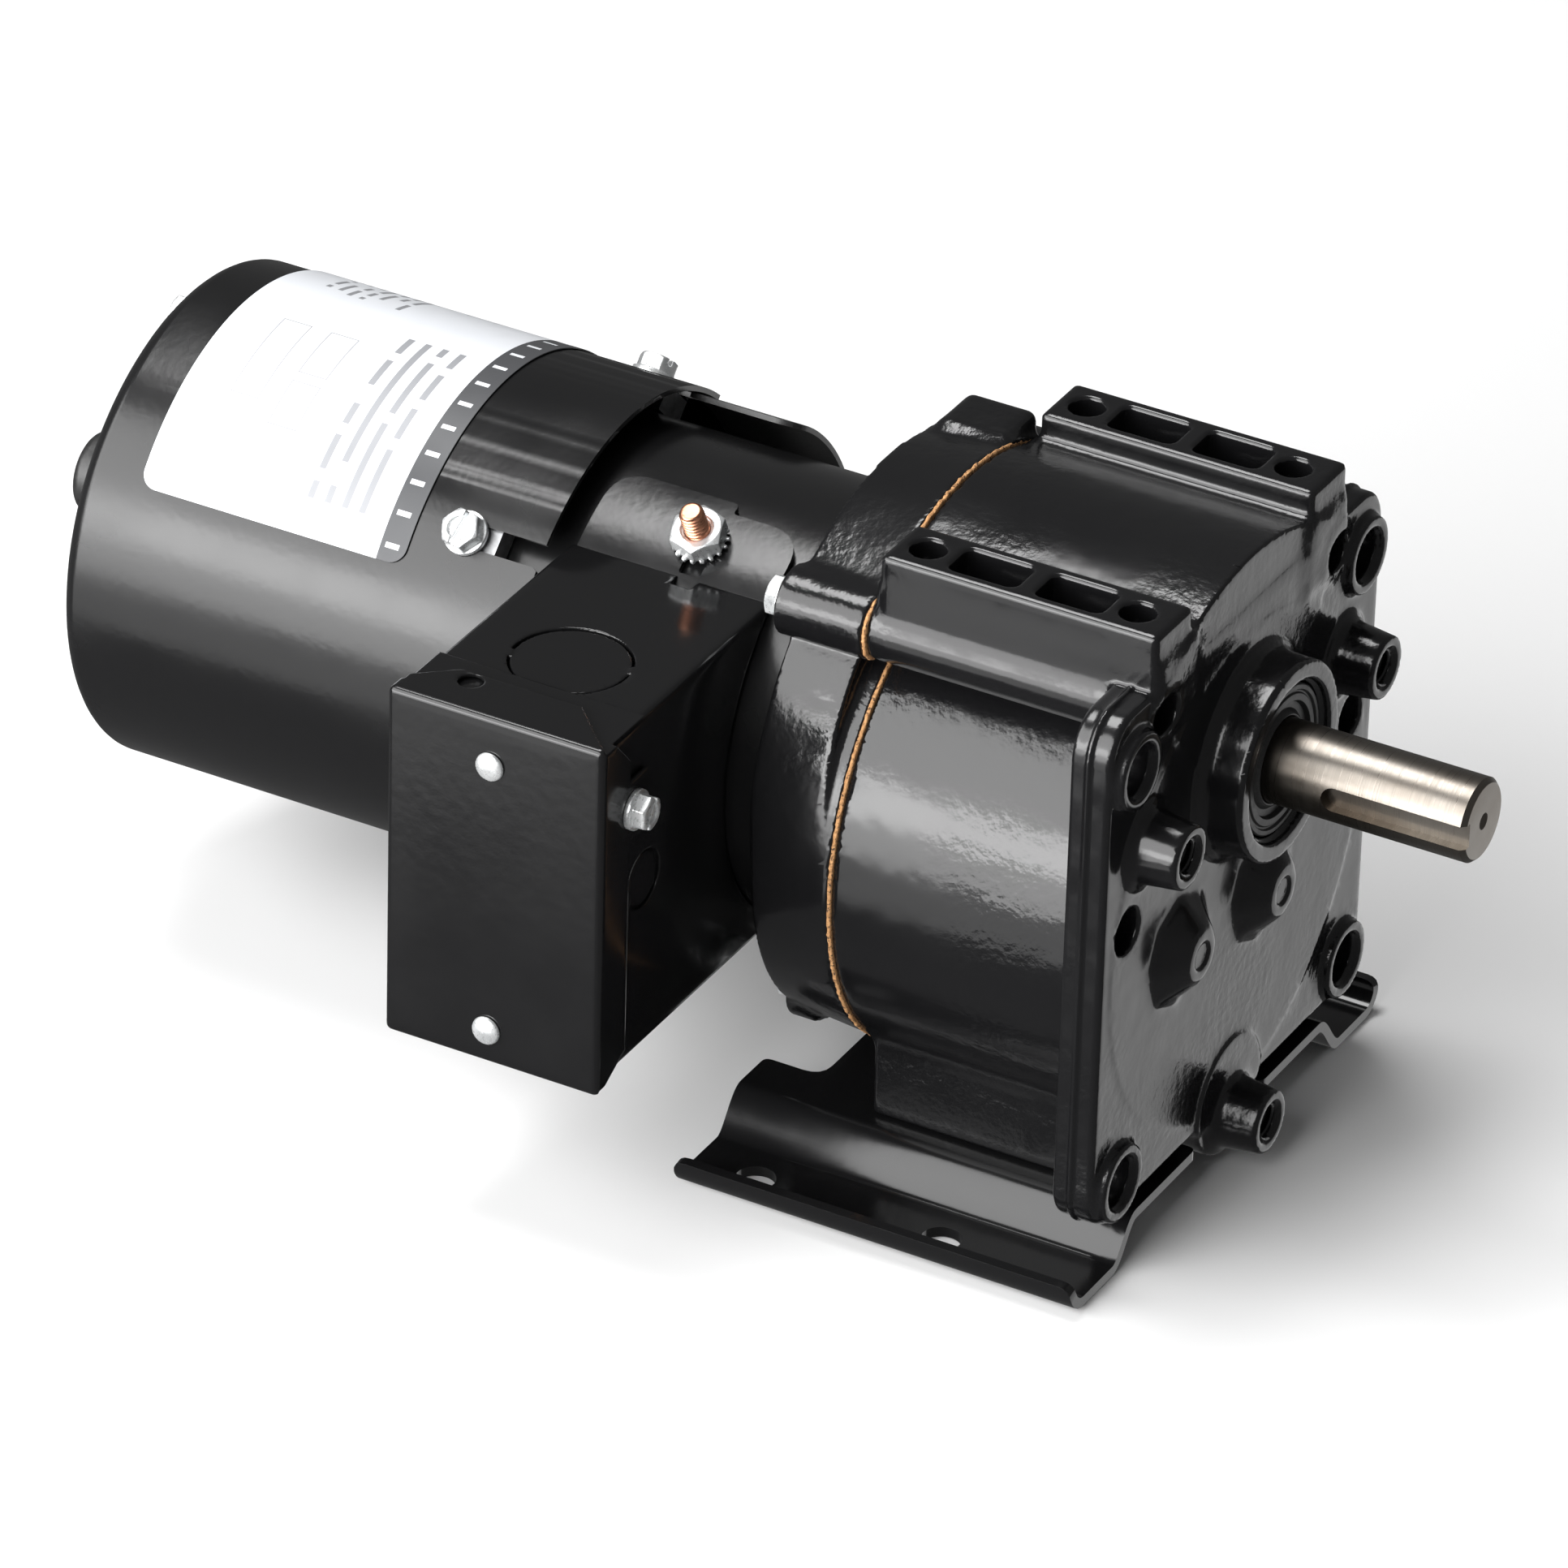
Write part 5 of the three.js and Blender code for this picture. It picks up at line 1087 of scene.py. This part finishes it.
def make_conduit_box():
    c = Casting((-133.6, -87.2, 34.6), (-90.8, 1, 105), (THIN, THIN, THIN))
    c.join(c.block(BOX_X, (BOX_Y, 6), BOX_Z, 1.4))
    inside_x, inside_z = (BOX_X[0] + 1.2, BOX_X[1] - 1.2), (BOX_Z[0] + 1.2, BOX_Z[1] - 1.2)
    c.cut(c.block(inside_x, (BOX_Y - 9, 9), inside_z, 0.5))
    c.cut(np.broadcast_to(np.hypot(c.y, c.z - MOTOR_Z) - 42.15, c.field.shape))
    # top knock-out: a disc held by two bridges, pressed slightly below the face
    top = (c.x + 112, c.y + 61.8)
    c.cut(ring_slits(c.z - 104.4, top, 11.1, 0.5, (15, 195), 3), 0.1)
    disc = np.maximum(np.hypot(*top) - 10.7, np.abs(c.z - 104.4) - 0.25)
    c.cut(disc, 0.3)
    c.join(np.maximum(np.hypot(*top) - 10.7, np.abs(c.z - 103.1) - 0.5), 0.2)
    side = (c.y + 70.6, c.z - 70.4)
    c.cut(ring_slits(c.x - BOX_X[1], side, 5.5, 0.6, (200,), 0.9), 0.15)
    c.cut(np.maximum(np.hypot(*side) - 5.2, np.abs(c.x - BOX_X[1]) - 0.3), 0.3)
    lance = c.block((-110.6, -106.4), (-29, -25.6), (101, 108), 0.3)
    c.cut(lance, 0.2)
    cut_screw_holes(c, BOX_X)
    return c.mesh(0.008)


def make_saddle():
    """The box's curved mounting strap: rounded free ends, a stepped tab and the stud's hole."""
    radius, rear, front, step_x = 41.5, -131.5, -92, -107.2
    start, end = ends = [math.radians(a) * radius for a in (103.5, 256.5)]
    step_v = start + 2.6
    corners = [(rear, start, 7), (step_x, start, 1.2), (step_x, step_v, 0.8), (front, step_v, 8),
               (front, end, 8), (rear, end, 7)]
    stud_v, lance_v = (math.radians(a) * radius for a in (STUD_ANGLE, 124.5))
    slot = rounded_rect(-111.0, -106.6, lance_v - 1.9, lance_v + 1.9, 0.5, 3)
    holes = [circle(STUD_X, stud_v, 2.45, 28), slot]
    return wrapped(rounded_outline(corners, 8), radius, ends, 90, 0.22, 2, 1.2, holes)


def cut_screw_holes(c, sides):
    """The two side screws' holes, through the front and the rear side."""
    for x, z in zip(sides[::-1], COVER_SCREWS_Z):
        c.cut(np.maximum(np.hypot(c.y - COVER_SCREW_Y, c.z - z) - 1.6, np.abs(c.x - x) - 3))


def make_cover():
    """A shallow pan over the box's open face, with bent flanges, a notch and two screw tabs."""
    c = Casting((-134.8, -88.6, 33.4), (-89.6, -71, 106.2), (THIN, THIN * 0.8, THIN))
    c.join(c.block(COVER_X, (COVER_Y, -60), COVER_Z, 1.3))
    inner_x = (COVER_X[0] + 1.0, COVER_X[1] - 1.0)
    inner_z = (COVER_Z[0] + 1.0, COVER_Z[1] - 1.0)
    c.cut(c.block(inner_x, (COVER_Y + 1.15, -50), inner_z, 0.5))
    # the flanges' free edges slope back to the corners, but the screw tabs stay at full depth
    along_x = np.interp(c.x, (-134.2, -126, -101.5, -93.3, -90.2), (-83, -76, -76, -84.5, -87.2))
    along_z = np.interp(c.z, (34, 39, 66, 99, 105.6), (-87, -78, -78, -78, -84))
    for slope, past, tab_z in (
        (along_x, inner_z[1] + 0.1 - c.z, None),
        (along_x, c.z - inner_z[0] - 0.1, None),
        (along_z, inner_x[1] + 0.1 - c.x, COVER_SCREWS_Z[0]),
        (along_z, c.x - inner_x[0] - 0.1, COVER_SCREWS_Z[1]),
    ):
        beyond = np.maximum((slope - c.y) * 0.75, past)
        if tab_z:
            beyond = np.maximum(beyond, 6 - np.abs(c.z - tab_z))
        c.cut(beyond.astype(np.float32), 0.3 if tab_z else 0)
    c.cut(np.broadcast_to(-71.6 - c.y, c.field.shape))
    c.cut(c.upright(100, 110, -122.6, -78.6, 2.3), 0.5)
    cut_screw_holes(c, COVER_X)
    for z in RIVETS_Z:
        c.cut(np.maximum(np.hypot(c.x - RIVET_X, c.z - z) - 1.6, np.abs(c.y - COVER_Y) - 3))
    return c.mesh(0.008)


# ---------------------------------------------------------------- the pieces in place
def add_frame_pieces():
    for name, mesh, material, node, slot in (
        ("gearcase_body", make_gearcase(), CAST, "gearcase", "cast_black_paint"),
        ("adapter_body", make_adapter(), CAST, "adapter_casting", "cast_black_paint"),
        ("gasket_sheet", make_gasket(), GASKET, "gearcase_gasket", "gasket_fibre"),
        ("base_plate_bent", make_base_plate(), SHEET, "base_plate", "sheet_black_paint"),
        ("output_seal_lip", make_output_seal(), SEAL, "output_seal", "seal_rubber"),
        ("motor_shell_tube", make_motor_shell(), SHROUD, "motor_shell", "sheet_black_paint"),
        ("fan_shroud_drawn", make_fan_shroud(), SHROUD, "fan_shroud", "sheet_black_paint"),
        ("hub_plug_moulded", make_hub_plug(), PLASTIC, "rear_hub_plug", "black_plastic"),
        ("air_baffle_bent", make_air_baffle(), PLASTIC, "air_baffle", "black_plastic"),
        ("nameplate_film", make_label(), label_film(), "nameplate_label", "label_film"),
        ("box_cover_pan", make_cover(), BOX, "conduit_box_cover", "sheet_black_paint"),
    ):
        place(name, mesh, material, ROOT, [node], slot)
    for name, mesh, material in (
        ("conduit_box_body", make_conduit_box(), BOX),
        ("conduit_box_saddle", make_saddle(), SHROUD),
    ):
        place(name, mesh, material, ROOT, ["conduit_box"], "sheet_black_paint")
    place("output_shaft_keyed", make_output_shaft(), STEEL, "output", ["output_shaft"],
          "ground_steel")


INSIDE = {
    GEAR: ["output_gear", "output_retaining_ring", "first_gear", "first_pinion_shaft",
           "second_gear", "second_pinion_shaft", "motor_pinion"],
    BEARING: ["output_bearing", "rotor_front_bearing", "rotor_rear_bearing"],
    BRONZE: ["output_rear_bush", "first_shaft_rear_bush", "first_shaft_front_bush",
             "second_shaft_rear_bush", "second_shaft_front_bush"],
    STEEL: ["rotor_shaft"],
    LAMINATED: ["stator_core", "rotor_core"],
    WINDING: ["stator_winding_front", "stator_winding_rear"],
    PLASTIC: ["cooling_fan"],
    ALUMINIUM: ["rear_end_shield"],
}


def finish_inside():
    """The CAD nodes that stay get procedural materials."""
    for material, names in INSIDE.items():
        for name in names:
            paint(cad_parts[name].data, material)


add_frame_pieces()
add_screws()
add_rivets()
add_ground()
finish_inside()


# ---------------------------------------------------------------- camera, floor and light
AZIMUTH, ELEVATION, ROLL = (math.radians(a) for a in (28.367, 31.314, 1.666))
CAMERA_AT = Vector((781.71, -1636.62, 1183.55))


def add_camera():
    a, e = AZIMUTH, ELEVATION
    back = Vector((math.sin(a) * math.cos(e), -math.cos(a) * math.cos(e), math.sin(e)))
    right = Vector((math.cos(a), math.sin(a), 0))
    up = back.cross(right)
    local_x = right * math.cos(ROLL) + up * math.sin(ROLL)
    local_y = up * math.cos(ROLL) - right * math.sin(ROLL)
    turn = Matrix((local_x, local_y, back)).transposed().to_4x4()
    camera = bpy.data.cameras.new("camera")
    camera.lens = 274.1
    camera.sensor_width = 36
    camera.shift_y = -0.0064
    camera.clip_start, camera.clip_end = 0.1, 20
    obj = new_object("camera", camera)
    obj.matrix_world = Matrix.Translation(TO_FRAME @ CAMERA_AT) @ turn
    bpy.context.scene.camera = obj


def add_floor():
    """A pale floor just under the feet, which the glossy paint does not mirror."""
    size = 6.0
    verts = [(-size, -size, 0), (size, -size, 0), (size, size, 0), (-size, size, 0)]
    mesh = mesh_of("floor", verts, [(0, 1, 2, 3)])
    n = Nodes("floor")
    haze = n.noise(1.5, 2.0, 0.5)
    colour = n.ramp(haze, (0.3, 0.86), (0.7, 0.90))
    mesh.materials.append(n.finish(Base_Color=colour, Roughness=0.9, Specular_IOR_Level=0.1))
    floor = new_object("floor", mesh)
    floor.location.z = -0.0002
    floor.visible_glossy = False


def add_softbox(name, direction, distance, size, watts):
    """A soft rectangle of light, at a distance in metres, that faces the object's middle."""
    light = bpy.data.lights.new(name, "AREA")
    light.shape = "RECTANGLE"
    light.size, light.size_y = size
    light.energy = watts
    obj = new_object(name, light)
    towards = Vector(direction).normalized()
    obj.location = Vector((0, 0, 0.06)) + towards * distance
    obj.rotation_euler = towards.to_track_quat("Z", "Y").to_euler()


def add_world(strength):
    world = bpy.data.worlds.new("studio")
    world.use_nodes = True
    background = world.node_tree.nodes["Background"]
    background.inputs["Color"].default_value = (1, 1, 1, 1)
    background.inputs["Strength"].default_value = strength
    bpy.context.scene.world = world


add_camera()
add_floor()
add_world(0.13)
add_softbox("key_softbox", (-0.45, -0.80, 0.55), 1.7, (2.4, 1.5), 62)
add_softbox("side_softbox", (-0.41, -0.88, 0.12), 1.6, (1.3, 0.9), 20)
add_softbox("top_softbox", (-0.3, 0.1, 1.0), 1.8, (0.9, 0.6), 18)
add_softbox("front_card", (-0.40, -0.75, -0.30), 1.5, (1.2, 0.5), 2.4)
add_softbox("side_card", (0.41, 0.75, -0.45), 1.5, (1.5, 0.8), 3.4)

bpy.context.scene.view_settings.view_transform = "Standard"
